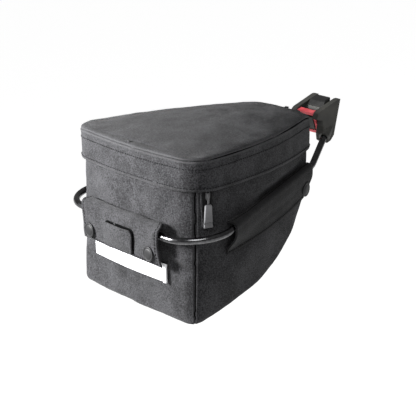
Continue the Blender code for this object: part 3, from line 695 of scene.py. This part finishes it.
def reflective(name):
    """Silver reflective tape: a fine bead grain and faint ribs."""
    made, tree, shader = start_material(name, (0.86, 0.86, 0.87), 0.5)
    uv = node(tree, "ShaderNodeUVMap").outputs["UV"]
    place = node(tree, "ShaderNodeTexCoord").outputs["Object"]
    split = node(tree, "ShaderNodeSeparateXYZ", Vector=uv)
    ribs = maths(tree, "SINE", maths(tree, "MULTIPLY", split.outputs["Y"], 2 * math.pi / 0.0012), 0.0)
    beads = speckle(tree, place, 1500.0, 2.0)
    tree.links.new(ramp(tree, beads, [(0.3, (0.52, 0.53, 0.54)), (0.7, (0.70, 0.70, 0.71))]),
                   shader.inputs["Base Color"])
    bump(tree, shader, maths(tree, "ADD", maths(tree, "MULTIPLY", ribs, 0.3), beads), 0.0002, 0.4)
    return made


NYLON_THREAD = 0.00075
TAPE_THREAD = 0.0006
NYLON = woven("black_nylon", (0.0020, 0.0020, 0.0025), (0.0300, 0.0300, 0.0325), (0.050, 0.050, 0.052),
              NYLON_THREAD)
# A darker copy of the black nylon for the sleeves: painted shade on the same cloth
SLEEVE_NYLON_SHADED = woven("sleeve_nylon_shaded", (0.0008, 0.0008, 0.0010), (0.0075, 0.0075, 0.0082),
                     (0.014, 0.014, 0.015), NYLON_THREAD)
# Zip tape: the tape's own black, darkened further as painted shade of the recess it sits in and of the pull
# in front of it
ZIP_TAPE_SHADED = woven("zip_tape_shaded", (0.0015, 0.0015, 0.0017), (0.0050, 0.0050, 0.0055), (0.006, 0.006, 0.006),
             TAPE_THREAD)
# Near-black cloth that paints shade: the lines in the seam grooves and the gap behind the light loop
SEAM_SHADE = moulded("seam_shadow", (0.0012, 0.0012, 0.0013), (0.0022, 0.0022, 0.0023), 0.9, 1500.0, 0.0001, 0.02)
THREAD = moulded("sewing_thread", (0.0025, 0.0025, 0.0028), (0.0050, 0.0050, 0.0054), 0.8, 1500.0,
                 0.0001, 0.05)
STEEL = coated_steel("black_gloss_steel")
PLASTIC = moulded("black_plastic", (0.020, 0.020, 0.018), (0.036, 0.035, 0.031), 0.50)
BLOCK_PLASTIC = moulded("block_plastic", (0.005, 0.005, 0.005), (0.010, 0.010, 0.010), 0.32)
RED = moulded("red_plastic", (0.60, 0.060, 0.075), (0.84, 0.150, 0.165), 0.42)
ENAMEL = moulded("black_enamel", (0.004, 0.004, 0.0045), (0.008, 0.008, 0.0085), 0.50, 400.0, 0.00005, 0.22)
GREY = moulded("grey_plastic", (0.055, 0.055, 0.058), (0.125, 0.125, 0.130), 0.40)
ZINC = moulded("dark_zinc", (0.03, 0.03, 0.031), (0.06, 0.06, 0.062), 0.38, 500.0)
SILVER = reflective("reflective_silver")


# Pieces

# Creases: start, end, width and depth, in the bag's frame
BODY_CREASES = [
    ((0.060, -0.006, 0.060), (0.090, 0.002, 0.054), 0.0040, -0.0016),
    ((0.064, -0.006, 0.066), (0.089, 0.001, 0.062), 0.0040, 0.0010),
    ((0.093, 0.012, 0.056), (0.094, 0.034, 0.050), 0.0050, -0.0010),
    ((0.090, 0.060, 0.064), (0.080, 0.110, 0.056), 0.0090, 0.0010),
    ((0.086, 0.070, 0.032), (0.066, 0.140, 0.052), 0.0100, -0.0010),
    ((-0.080, -0.004, 0.034), (-0.090, 0.004, 0.074), 0.0060, -0.0010),
    ((0.020, -0.008, 0.012), (0.070, -0.004, 0.030), 0.0100, -0.0008),
]
LID_CREASES = [
    ((0.052, 0.160, 0.161), (0.056, 0.152, 0.136), 0.0030, -0.0016),
    ((0.046, 0.172, 0.162), (0.047, 0.170, 0.135), 0.0028, 0.0014),
    ((0.041, 0.184, 0.162), (0.044, 0.178, 0.138), 0.0026, -0.0014),
    ((0.085, 0.060, 0.160), (0.083, 0.068, 0.138), 0.0060, -0.0010),
    ((0.077, 0.094, 0.162), (0.073, 0.108, 0.138), 0.0070, 0.0010),
    ((-0.020, 0.050, 0.172), (0.040, 0.110, 0.172), 0.0160, -0.0008),
    ((0.000, 0.150, 0.173), (0.030, 0.186, 0.170), 0.0060, -0.0010),
]
# For the right sleeve
SLEEVE_CREASES = [
    ((0.084, 0.050, 0.094), (0.080, 0.092, 0.090), 0.0045, -0.0009),
    ((0.078, 0.100, 0.094), (0.060, 0.150, 0.098), 0.0050, 0.0008),
    ((0.062, 0.140, 0.086), (0.050, 0.176, 0.090), 0.0050, -0.0009),
]


def seam_columns():
    """Columns of the half outline where the rear and front corner seams run."""
    rear = REAR_STEPS + CORNER_STEPS // 2
    front = REAR_STEPS + CORNER_STEPS + SIDE_STEPS + FRONT_CORNER_STEPS // 2
    return rear, front


def seam_relief(index):
    """A stitched seam as a groove between two low ridges, for a column near it."""
    reliefs = {0: -0.0013, 1: 0.0003, 2: 0.0002}
    return sum(reliefs.get(abs(index - seam), 0.0) for seam in seam_columns())


def body_ring(share, pull_in, lift):
    """One ring of the body's cloth: a share of its height, or a lift inside its rounded bottom edge."""
    half = half_outline(section_at(share))
    distances = [pull_in - seam_relief(i) for i in range(len(half))]
    placed = []
    for plain, moved in zip(half, inset(half, distances)):
        low = bottom_z(moved.y)
        z = low + lift if lift < BOTTOM_ROUNDING else mix(low + BOTTOM_ROUNDING, BODY_HEIGHT, share)
        shift = plain.x - dented(plain.x, plain.y, z)
        placed.append(Vector((max(0.0, moved.x - shift), moved.y, z)))
    left = [Vector((-p.x, p.y, p.z)) for p in placed[-2:0:-1]]
    return placed + left


def make_body():
    """The body: one nylon shell with grooved corner seams and soft creases."""
    rings = []
    turns = 6
    for index in range(turns):
        angle = math.pi / 2 * index / turns
        pull_in = BOTTOM_ROUNDING * (1 - math.sin(angle))
        rings.append(body_ring(0.0, pull_in, BOTTOM_ROUNDING * (1 - math.cos(angle))))
    for index in range(BODY_ROWS + 1):
        rings.append(body_ring(index / BODY_ROWS, 0.0, BOTTOM_ROUNDING))
    bm = bmesh.new()
    verts = loft(bm, rings)
    cap(bm, verts[0], 10, lambda x, y, half, z: z)

    def near_rim(point):
        return smooth((BODY_HEIGHT - 0.004 - point.z) / 0.012)

    crumple(bm, 0.0007, 0.030, BODY_CREASES, near_rim)
    piece = finish_piece(bm, "body_cloth", NYLON)
    thicken(piece, FABRIC)
    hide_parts("body_shell")
    return piece


def make_corner_seams(body):
    """Near-black cords down the body's corner seams, painting the shade in their grooves."""
    rear, front = seam_columns()
    for side, sign in (("right", 1), ("left", -1)):
        for label, column in (("rear", rear), ("front", front)):
            route = []
            for index in range(SEAM_SHADE_STEPS + 1):
                share = 0.01 + 0.86 * index / SEAM_SHADE_STEPS
                point = half_outline(section_at(share))[column]
                z = mix(bottom_z(point.y) + BOTTOM_ROUNDING, BODY_HEIGHT, share)
                route.append(Vector((sign * dented(point.x, point.y, z), point.y, z)))
            shade_cord = tube_piece(f"seam_{label}_{side}", on_surface(body, route, 0.0002), SEAM_SHADE_RADIUS, SEAM_SHADE, 2)


def lid_top_z(y):
    nose = clamp((y - (BODY_LENGTH - LID_NOSE_LENGTH)) / LID_NOSE_LENGTH)
    return LID_HEIGHT + LID_RISE * clamp(y / BODY_LENGTH) - LID_NOSE_DROP * nose ** 1.6


def lid_half(share, out):
    """Right half of the lid's outline, at a share of its skirt's height."""
    spread = FABRIC + GAP + SKIRT_SPREAD * (1 - share)
    section = section_at(mix(SKIRT_BOTTOM / BODY_HEIGHT, 1.0, share))
    section["corner"] *= mix(1.0, LID_TOP_CORNER, smooth(share))
    return inset(half_outline(section), -(spread + out))


# The lid's profile above its plain skirt: height below the top edge, and how far it stands out
LID_SEAM = [
    {"below": 0.0046, "out": 0.0000},
    {"below": 0.0036, "out": 0.0004},
    {"below": 0.0028, "out": 0.0005},
    {"below": 0.0022, "out": 0.0000},
    {"below": 0.0018, "out": -0.0018},
    {"below": 0.0013, "out": -0.0020},
    {"below": 0.0009, "out": -0.0005},
    {"below": 0.0002, "out": -0.0003},
    {"below": -0.0006, "out": -0.0010},
    {"below": -0.0011, "out": -0.0024},
    {"below": -0.0015, "out": -0.0042},
]


def lid_crown(x, y, half, edge):
    """Height of the lid's padded top above its edge."""
    across = 1 - abs(x / max(half, CROWN_LEAST_HALF)) ** CROWN_POWER
    along = math.sin(math.pi * clamp(y / BODY_LENGTH)) ** 0.5
    return edge + LID_CROWN * across * along


def make_lid():
    """The padded lid: a skirt with a hem, a grooved top seam and a crowned top."""
    rings = []
    top_share = 1 - LID_SEAM[0]["below"] / SKIRT_HEIGHT
    for index in range(LID_SKIRT_ROWS):
        share = top_share * index / LID_SKIRT_ROWS
        hem = LID_HEM_SWELL if index in (1, 2) else 0.0
        half = lid_half(share, hem)
        rings.append(mirrored_ring(half, lambda p, s=share: mix(SKIRT_BOTTOM, lid_top_z(p.y), s)))
    for row in LID_SEAM:
        half = lid_half(1.0, row["out"])
        rings.append(mirrored_ring(half, lambda p, b=row["below"]: lid_top_z(p.y) - b))
    bm = bmesh.new()
    verts = loft(bm, rings)
    cap(bm, verts[-1], CAP_COLUMNS, lid_crown)
    crumple(bm, 0.0009, 0.034, LID_CREASES)
    piece = finish_piece(bm, "lid_cloth", NYLON)
    thicken(piece, FABRIC)
    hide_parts("lid")
    return piece


def make_lid_seam(lid):
    """A near-black cord in the groove of the lid's top seam, along the sides and round the front: painted
    shade in the groove.
    """
    ring = mirrored_ring(lid_half(1.0, -0.0012), lambda p: lid_top_z(p.y) - 0.0016)
    route = [p for p in ring if p.y > LID_SEAM_START]
    line = tube_piece("lid_seam_shade_line", on_surface(lid, route, 0.0003), LID_SEAM_SHADE_RADIUS, SEAM_SHADE, 2)


def make_lid_stitches(lid):
    """The rows of stitches below the lid's top seam and above its hem."""
    for label, share in (("top", 1 - TOPSTITCH_DROP / SKIRT_HEIGHT), ("hem", HEM_STITCH_RISE / SKIRT_HEIGHT)):
        ring = mirrored_ring(lid_half(share, 0.0), lambda p, s=share: mix(SKIRT_BOTTOM, lid_top_z(p.y), s))
        stitch_row(f"lid_{label}_stitch", on_surface(lid, ring + ring[:1], STITCH_LIFT))


def fillet_route(corners, radii, step):
    """A route through corners, each turned with its own radius."""
    points = [corners[0]]
    for before, corner, after, radius in zip(corners, corners[1:], corners[2:], radii):
        back = (before - corner).normalized()
        ahead = (after - corner).normalized()
        half_angle = back.angle(ahead) / 2
        reach = radius / math.tan(half_angle)
        middle = corner + (back + ahead).normalized() * (radius / math.sin(half_angle))
        start = corner + back * reach
        end = corner + ahead * reach
        turn = (start - middle).angle(end - middle)
        axis = (start - middle).cross(end - middle).normalized()
        count = max(3, round(turn * radius / step))
        points += [middle + Matrix.Rotation(turn * i / count, 3, axis) @ (start - middle)
                   for i in range(count + 1)]
    points.append(corners[-1])
    return points


def make_tube():
    """The steel loop, from one socket of the adapter round the rear to the other."""
    along = (TUBE_SOCKET - TUBE_FRONT).normalized()
    right = [TUBE_SOCKET + along * TUBE_GRIP, TUBE_FRONT, TUBE_REAR]
    left = [Vector((-p.x, p.y, p.z)) for p in right]
    radii = [TUBE_FRONT_RADIUS, TUBE_CORNER_RADIUS, TUBE_CORNER_RADIUS, TUBE_FRONT_RADIUS]
    route = fillet_route(left + right[::-1], radii, 0.0022)
    piece = tube_piece("loop_rod", route, TUBE_RADIUS, STEEL, 8)
    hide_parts("frame_tube")


def flap_inner(x, rise, stand):
    """The flap's inner face, over the tube or on the body and the strip."""
    z = TUBE_REAR.z + rise * TUBE_RADIUS
    seat = rear_y(x, z) - GAP
    if rise > 0:
        seat -= FLAP_CLOTH
    elif z < STRIP_BOTTOM + STRIP_HEIGHT + STRIP_CLOTH:
        seat -= STRIP_CLOTH + GAP
    proud = TUBE_REAR.y - TUBE_RADIUS - TUBE_GAP
    return Vector((x, mix(seat, min(seat, proud), stand), z))


def flap_row(share):
    return eased(FLAP_ROWS, "rise", share), eased(FLAP_ROWS, "stand", share)


def flap_width(share):
    """Half width of the flap along its run: it is narrower at its seam and at its waist."""
    waist = math.exp(-((share - 0.72) / 0.20) ** 2)
    seam = 1 - smooth(share / 0.45)
    return FLAP_HALF_WIDTH * (1.02 - 0.045 * waist - 0.17 * seam)


def flap_outer(x, share):
    """The flap's outer face, its cloth's thickness away from the inner one."""
    here = flap_inner(x, *flap_row(share))
    before = flap_inner(x, *flap_row(share - FLAP_PROBE))
    after = flap_inner(x, *flap_row(share + FLAP_PROBE))
    along = (after - before).normalized()
    return here + Vector((0, along.z, -along.y)) * FLAP_CLOTH


def make_flap():
    """The rear flap: folded over the tube and hanging to the reflective strip."""
    def point(share, across):
        return flap_outer(flap_width(share) * (2 * across - 1), share)

    def uv(share, across):
        return (2 * FLAP_HALF_WIDTH * across, FLAP_LENGTH * share)

    creases = [
        ((-0.052, -0.018, 0.088), (-0.026, -0.018, 0.064), 0.0060, 0.0007),
        ((0.050, -0.018, 0.092), (0.044, -0.018, 0.078), 0.0040, -0.0008),
        ((0.058, -0.018, 0.088), (0.054, -0.017, 0.060), 0.0030, 0.0008),
    ]
    piece = cloth_sheet("flap_cloth", 60, 84, point, NYLON, uv, REARWARDS, 0.0005, 0.022, creases)
    thicken(piece, FLAP_CLOTH)
    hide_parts("rear_flap")
    return piece


def make_flap_stitches(flap):
    """Rows of stitches along the flap's side edges and its hem."""
    margin = FLAP_STITCH_MARGIN
    shares = [i / 60 for i in range(14, 59)]
    for side, sign in (("left", -1), ("right", 1)):
        route = [flap_outer(sign * (flap_width(s) - margin), s) for s in shares]
        stitch_row(f"flap_edge_stitch_{side}", on_surface(flap, route, STITCH_LIFT))
    reach = flap_width(FLAP_HEM_SHARE) - margin
    route = [flap_outer(reach * (i / 30 - 1), FLAP_HEM_SHARE) for i in range(61)]
    stitch_row("flap_hem_stitch", on_surface(flap, route, STITCH_LIFT))


def flap_face(x, z):
    """A point on the flap's outer face at a height below its fold."""
    low, high = 0.50, 1.0
    for _ in range(24):
        middle = (low + high) / 2
        if flap_outer(x, middle).z > z:
            low = middle
        else:
            high = middle
    return flap_outer(x, (low + high) / 2)


def make_strip():
    """The reflective strip, with a narrow folded band over its right end."""
    def point(share, across):
        x = STRIP_HALF_WIDTH * (2 * across - 1)
        z = STRIP_BOTTOM + STRIP_HEIGHT * share
        pad = 0.0004 * math.sin(math.pi * clamp(share, 0.02, 0.98)) ** 0.5
        return Vector((x, rear_y(x, z) - GAP - STRIP_CLOTH - pad, z))

    piece = cloth_sheet("strip_tape", 10, 60, point, SILVER,
                        lambda s, a: (2 * STRIP_HALF_WIDTH * a, STRIP_HEIGHT * s), REARWARDS, 0.0002, 0.02)
    thicken(piece, STRIP_CLOTH)
    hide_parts("reflective_strip")

    def fold(share, across):
        x = STRIP_HALF_WIDTH + 0.0004 - 0.0036 * (1 - across)
        z = STRIP_BOTTOM - 0.0002 + (STRIP_HEIGHT + 0.0012) * share
        return Vector((x, rear_y(x, z) - GAP - 2 * STRIP_CLOTH - 0.0006, z))

    end = cloth_sheet("strip_folded_end", 8, 4, fold, SILVER,
                      lambda s, a: (0.004 * a, STRIP_HEIGHT * s), REARWARDS)
    thicken(end, 0.0006)


def loop_point(share, across, margin, stand):
    """A point of the light loop, with its upper corners rounded off."""
    x = (LOOP_HALF_WIDTH + margin) * (2 * across - 1)
    edge = max(0.0, abs(x) - (LOOP_HALF_WIDTH + margin - LOOP_CORNER)) / LOOP_CORNER
    height = LOOP_HEIGHT + margin - LOOP_CORNER * (1 - math.sqrt(max(0.0, 1 - edge ** 2)))
    z = LOOP_BOTTOM + height * share
    lean = 0.0030 * (share - 0.5)
    rise = stand * math.sin(math.pi * clamp(across, 0.01, 0.99)) ** 0.5 * smooth(share * 2.0)
    face = flap_face(x + lean, z)
    return Vector((x + lean, face.y - GAP - rise, z))


def make_light_loop():
    """The webbing loop for a clip-on light, over a near-black sheet that paints the shade in the gap round
    its free edges.
    """
    def uv(share, across):
        return (2 * LOOP_HALF_WIDTH * across, LOOP_HEIGHT * share)

    def shade_sheet_point(share, across):
        return loop_point(share, across, SHADE_SHEET_MARGIN, 0.0)

    def webbing_point(share, across):
        return loop_point(share, across, 0.0, LOOP_STAND) - Vector((0, SHADE_SHEET_ROOM + LOOP_CLOTH, 0))

    # A near-black sheet, a little larger than the loop, paints the shade under the loop's free edges
    shade_sheet = cloth_sheet("light_loop_shade_sheet", 20, 40, shade_sheet_point, SEAM_SHADE, uv, REARWARDS)
    thicken(shade_sheet, 0.0004)
    piece = cloth_sheet("light_loop_webbing", 24, 44, webbing_point, NYLON, uv, REARWARDS, 0.0002, 0.012)
    thicken(piece, LOOP_CLOTH)
    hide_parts("light_loop")


SNAP_PROFILE = [
    (0.00, 0.82), (0.30, 0.81), (0.56, 0.76), (0.68, 0.68), (0.74, 0.62), (0.80, 0.66), (0.90, 0.74),
    (0.97, 0.66), (1.00, 0.50), (0.98, 0.36), (0.80, 0.26), (0.78, 0.00), (0.00, 0.00),
]


def make_snap(name, node_name, place, outward):
    """A domed snap cap with a rolled rim that overhangs its stem."""
    bm = bmesh.new()
    verts = [bm.verts.new((SNAP_RADIUS * r, 0, SNAP_HEIGHT * h / 0.8)) for r, h in SNAP_PROFILE]
    edges = [bm.edges.new((a, b)) for a, b in zip(verts, verts[1:])]
    bmesh.ops.spin(bm, geom=verts + edges, cent=(0, 0, 0), axis=(0, 0, 1), angle=2 * math.pi, steps=48)
    bmesh.ops.remove_doubles(bm, verts=bm.verts, dist=0.00001)
    turn = outward.to_track_quat("Z", "Y").to_matrix().to_4x4()
    bmesh.ops.transform(bm, matrix=Matrix.Translation(place) @ turn, verts=bm.verts)
    piece = finish_piece(bm, name, ENAMEL)
    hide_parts(node_name)


def seat_of(node_name, facing):
    """Centre of a snap's back, from its CAD box, for the direction that it faces."""
    low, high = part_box(node_name)
    return (Vector(low) + Vector(high)) / 2 - BAG_ORIGIN - facing * SNAP_HEIGHT * 0.40


def sleeve_side(y, z):
    """The right sleeve's inner face from its lower edge up to the tube's middle."""
    drop = (tube_z(y) - z) / SLEEVE_DOWN
    grip = TUBE_RADIUS + TUBE_GAP
    body = side_x(y, z) + GAP
    stand = mix(body, max(body, tube_x(y) + grip), plateau(drop, grip / SLEEVE_DOWN))
    return Vector((max(stand, plain_side_x(y) + GAP), y, z))


def sleeve_section(y):
    """The right sleeve's inner face across the tube, from its lower edge to its top seam."""
    middle = tube_z(y)
    grip = TUBE_RADIUS + TUBE_GAP
    low = max(middle - SLEEVE_DOWN, bottom_z(y) + BOTTOM_ROUNDING)
    points = [sleeve_side(y, mix(low, middle, i / SLEEVE_STEPS)) for i in range(SLEEVE_STEPS)]
    for i in range(SLEEVE_TOP_STEPS + 1):
        share = i / SLEEVE_TOP_STEPS
        z = middle + grip * eased(SLEEVE_TOP, "rise", share)
        body = side_x(y, z) + GAP
        x = mix(body, max(body, tube_x(y) + grip), eased(SLEEVE_TOP, "stand", share))
        points.append(Vector((x, y, z)))
    return points


def make_sleeve(side, sign):
    """A side sleeve: cloth that wraps the tube and is sewn down along its lower edge."""
    columns = SLEEVE_COLUMNS
    sections = [sleeve_section(mix(SLEEVE_START, SLEEVE_END, j / columns)) for j in range(columns + 1)]
    last = len(sections[0]) - 1

    def point(share, along):
        section = sections[round(along * columns)]
        i = round(share * last)
        way = (section[min(last, i + 1)] - section[max(0, i - 1)]).normalized()
        place = section[i] + Vector((way.z, 0, -way.x)) * SLEEVE_CLOTH
        return Vector((sign * place.x, place.y, place.z))

    creases = [((sign * ax, ay, az), (sign * bx, by, bz), width, depth)
               for (ax, ay, az), (bx, by, bz), width, depth in SLEEVE_CREASES]
    piece = cloth_sheet(f"sleeve_cloth_{side}", last, columns, point, SLEEVE_NYLON_SHADED,
                        lambda s, a: (0.165 * a, 0.042 * s), Vector((sign, 0, 0)), 0.0004, 0.024, creases)
    thicken(piece, SLEEVE_CLOTH)
    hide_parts(f"side_sleeve_{side}")
    for label, row in (("lower", SLEEVE_STITCH_ROW), ("upper", last - SLEEVE_STITCH_ROW)):
        route = [point(row / last, i / columns) for i in range(1, columns)]
        stitch_row(f"sleeve_{label}_stitch_{side}", on_surface(piece, route, STITCH_LIFT))


def corner_spot():
    """The right rear corner's outermost point in the zip's direction, and that direction."""
    angle = math.radians(ZIP_ANGLE)
    outward = Vector((math.sin(angle), -math.cos(angle), 0))
    half = half_outline(section_at(SKIRT_BOTTOM / BODY_HEIGHT))
    spot = max(half, key=lambda p: p.x * outward.x + p.y * outward.y)
    return Vector((spot.x, spot.y, 0)), outward


def box_strip(bm, turn, rows):
    """A closed bar from rows of (z, half width, back, front), joined from the top down."""
    rings = []
    for z, half, back, front in rows:
        bevel = min(half, front - back) * 0.28
        outline = [(-half, back), (-half, front - bevel), (-half + bevel, front), (half - bevel, front),
                   (half, front - bevel), (half, back)]
        rings.append([bm.verts.new(turn @ Vector((x, -depth, z))) for x, depth in outline])
    count = len(rings[0])
    for low, high in zip(rings, rings[1:]):
        for i in range(count):
            j = (i + 1) % count
            bm.faces.new((low[i], low[j], high[j], high[i]))
    bm.faces.new(rings[0])
    bm.faces.new(rings[-1])


def make_zip(body):
    """The zip's end at the corner: black tape, darkened further as painted shade of its recess and of the
    pull, two piped lips and coil, with the slider and pull on them.
    """
    spot, outward = corner_spot()
    across = Vector((-outward.y, outward.x, 0))
    top = SKIRT_BOTTOM + 0.004

    def half_width(share):
        return ZIP_HALF_WIDTH * mix(1.0, 0.72, share ** 1.5)

    def tape_point(share, side):
        offset = half_width(share) * (2 * side - 1)
        return spot + across * offset + Vector((0, 0, top - ZIP_HEIGHT * share))

    def laid_point(share, side):
        return on_surface(body, [tape_point(share, side)], 0.0008)[0]

    tape = cloth_sheet("zip_tape_shaded", 36, 8, laid_point, ZIP_TAPE_SHADED,
                       lambda share, side: (0.011 * side, ZIP_HEIGHT * share), outward)
    thicken(tape, 0.0006)
    for label, side in (("rear", -0.06), ("front", 1.06)):
        route = on_surface(body, [tape_point(i / 40, side) for i in range(41)], 0.0006)
        lip = tube_piece(f"zip_lip_{label}", route, 0.0010, NYLON, 3)
    route = on_surface(body, [tape_point(i / 40, 0.5) for i in range(41)], 0.0013)
    stitch_row("zip_coil", route, 0.0012, 0.0008, 0.0009)

    facing = Matrix.Rotation(math.atan2(outward.x, -outward.y), 4, "Z")
    turn = Matrix.Translation(spot + outward * GAP) @ facing
    make_slider(turn)
    make_pull(turn)


def make_slider(turn):
    """The slider's body and the arm that holds the pull."""
    high = SKIRT_BOTTOM - GAP
    low = high - SLIDER_HEIGHT
    half = SLIDER_WIDTH / 2
    bm = bmesh.new()
    box_strip(bm, turn, [
        (high, half * 0.7, 0.0, 0.0016),
        (high - 0.002, half, 0.0, 0.0018),
        (high - 0.006, half, 0.0, 0.0018),
        (high - 0.0085, half * 0.6, 0.0, 0.0016),
    ])
    box_strip(bm, turn, [
        (high - 0.0015, half * 0.35, 0.0014, 0.0024),
        (high - 0.0030, half * 0.42, 0.0020, 0.0034),
        (high - 0.0060, half * 0.42, 0.0022, 0.0034),
        (low + 0.0012, half * 0.42, 0.0018, 0.0030),
        (low, half * 0.5, 0.0016, 0.0028),
    ])
    slider = finish_piece(bm, "slider_metal", ZINC)
    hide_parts("zip_slider")


# The pull's outline from its top down: share of its length, of its half width and of its thickness
PULL_ROWS = [
    (0.00, 0.66, 0.50), (0.03, 0.80, 1.10), (0.10, 0.86, 1.30), (0.55, 0.98, 1.30), (0.74, 1.06, 1.20),
    (0.77, 1.06, 0.55), (0.86, 1.08, 0.55), (0.89, 1.10, 1.20), (0.97, 1.12, 1.20), (1.00, 1.00, 0.60),
]


def make_pull(turn):
    """The zip pull, with a groove across its lower end."""
    pull_top = SKIRT_BOTTOM - GAP - SLIDER_HEIGHT - GAP
    back = SLIDER_DEPTH - PULL_THICKNESS
    wide = PULL_WIDTH / 2
    bm = bmesh.new()
    box_strip(bm, turn, [(pull_top - PULL_LENGTH * down, wide * width, back, back + PULL_THICKNESS * thick)
                         for down, width, thick in PULL_ROWS])
    pull = finish_piece(bm, "pull_tab", GREY)
    bevelled(pull, 0.0003, 30, 2)
    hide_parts("zip_pull")


def dress_hard_parts():
    """Materials and rounded edges for the CAD pieces that show as they are."""
    finishes = {
        "adapter_body": (PLASTIC, 0.0014),
        "latch_block": (BLOCK_PLASTIC, 0.0),
        "release_lever": (RED, 0.0006),
    }
    for name, (material, width) in finishes.items():
        piece = nodes[name]
        piece.data.materials.clear()
        piece.data.materials.append(material)
        if width:
            bevelled(piece, width)


# Stage

def make_stage():
    """A plain pale floor well below the bag."""
    bm = bmesh.new()
    bmesh.ops.create_grid(bm, x_segments=1, y_segments=1, size=FLOOR_SIZE)
    mesh = bpy.data.meshes.new("floor")
    bm.to_mesh(mesh)
    bm.free()
    floor = add_object("floor", mesh)
    floor.location = (0, 0, FLOOR_Z)
    paint, _, shader = start_material("pale_floor", (0.92, 0.92, 0.92), 0.9)
    shader.inputs["Emission Color"].default_value = (1.0, 1.0, 1.0, 1.0)
    shader.inputs["Emission Strength"].default_value = FLOOR_GLOW
    mesh.materials.append(paint)


def make_light(name, place, target, power, size):
    lamp = bpy.data.lights.new(name, "AREA")
    lamp.energy = power
    lamp.size = size
    item = add_object(name, lamp)
    item.location = BAG_ORIGIN + Vector(place)
    item.rotation_euler = (Vector(target) - Vector(place)).to_track_quat("-Z", "Y").to_euler()


def make_lighting():
    """A key light behind the bag and to its left, a soft box high on its right and a dim sky."""
    make_light("key", (-0.26, -0.44, 0.27), (0, 0.03, 0.12), 22.0, 0.18)
    make_light("overhead", (0.60, -0.60, 1.15), (0.05, 0.0, 0.10), 14.0, 0.70)
    world = bpy.data.worlds.new("studio")
    bpy.context.scene.world = world
    world.use_nodes = True
    tree = world.node_tree
    tree.nodes["Background"].inputs["Color"].default_value = (1.0, 1.0, 1.0, 1.0)
    tree.nodes["Background"].inputs["Strength"].default_value = SKY_STRENGTH
    bpy.context.scene.view_settings.view_transform = "Standard"


def make_camera():
    """The photograph's camera."""
    azimuth = math.radians(CAMERA_AZIMUTH)
    elevation = math.radians(CAMERA_ELEVATION)
    back = Vector((math.sin(azimuth) * math.cos(elevation), -math.cos(azimuth) * math.cos(elevation),
                   math.sin(elevation)))
    data = bpy.data.cameras.new("camera")
    data.sensor_width = SENSOR_MM
    data.lens = FOCAL_PIXELS * SENSOR_MM / IMAGE_PIXELS
    item = add_object("camera", data)
    item.location = BAG_ORIGIN + CAMERA_TARGET + back * CAMERA_DISTANCE
    item.rotation_euler = back.to_track_quat("Z", "Y").to_euler()
    bpy.context.scene.camera = item


make_camera()
body = make_body()
make_corner_seams(body)
lid = make_lid()
make_lid_seam(lid)
make_lid_stitches(lid)
make_tube()
flap = make_flap()
make_flap_stitches(flap)
make_strip()
make_light_loop()
for side, sign in (("right", 1), ("left", -1)):
    make_sleeve(side, sign)
    rear_seat = seat_of(f"rear_snap_{side}", REARWARDS)
    make_snap(f"rear_cap_{side}", f"rear_snap_{side}", rear_seat, REARWARDS)
    facing = Vector((sign * 0.94, 0.34, -0.05)).normalized()
    make_snap(f"side_cap_{side}", f"side_snap_{side}", seat_of(f"side_snap_{side}", facing), facing)
make_zip(body)
dress_hard_parts()
make_stage()
make_lighting()
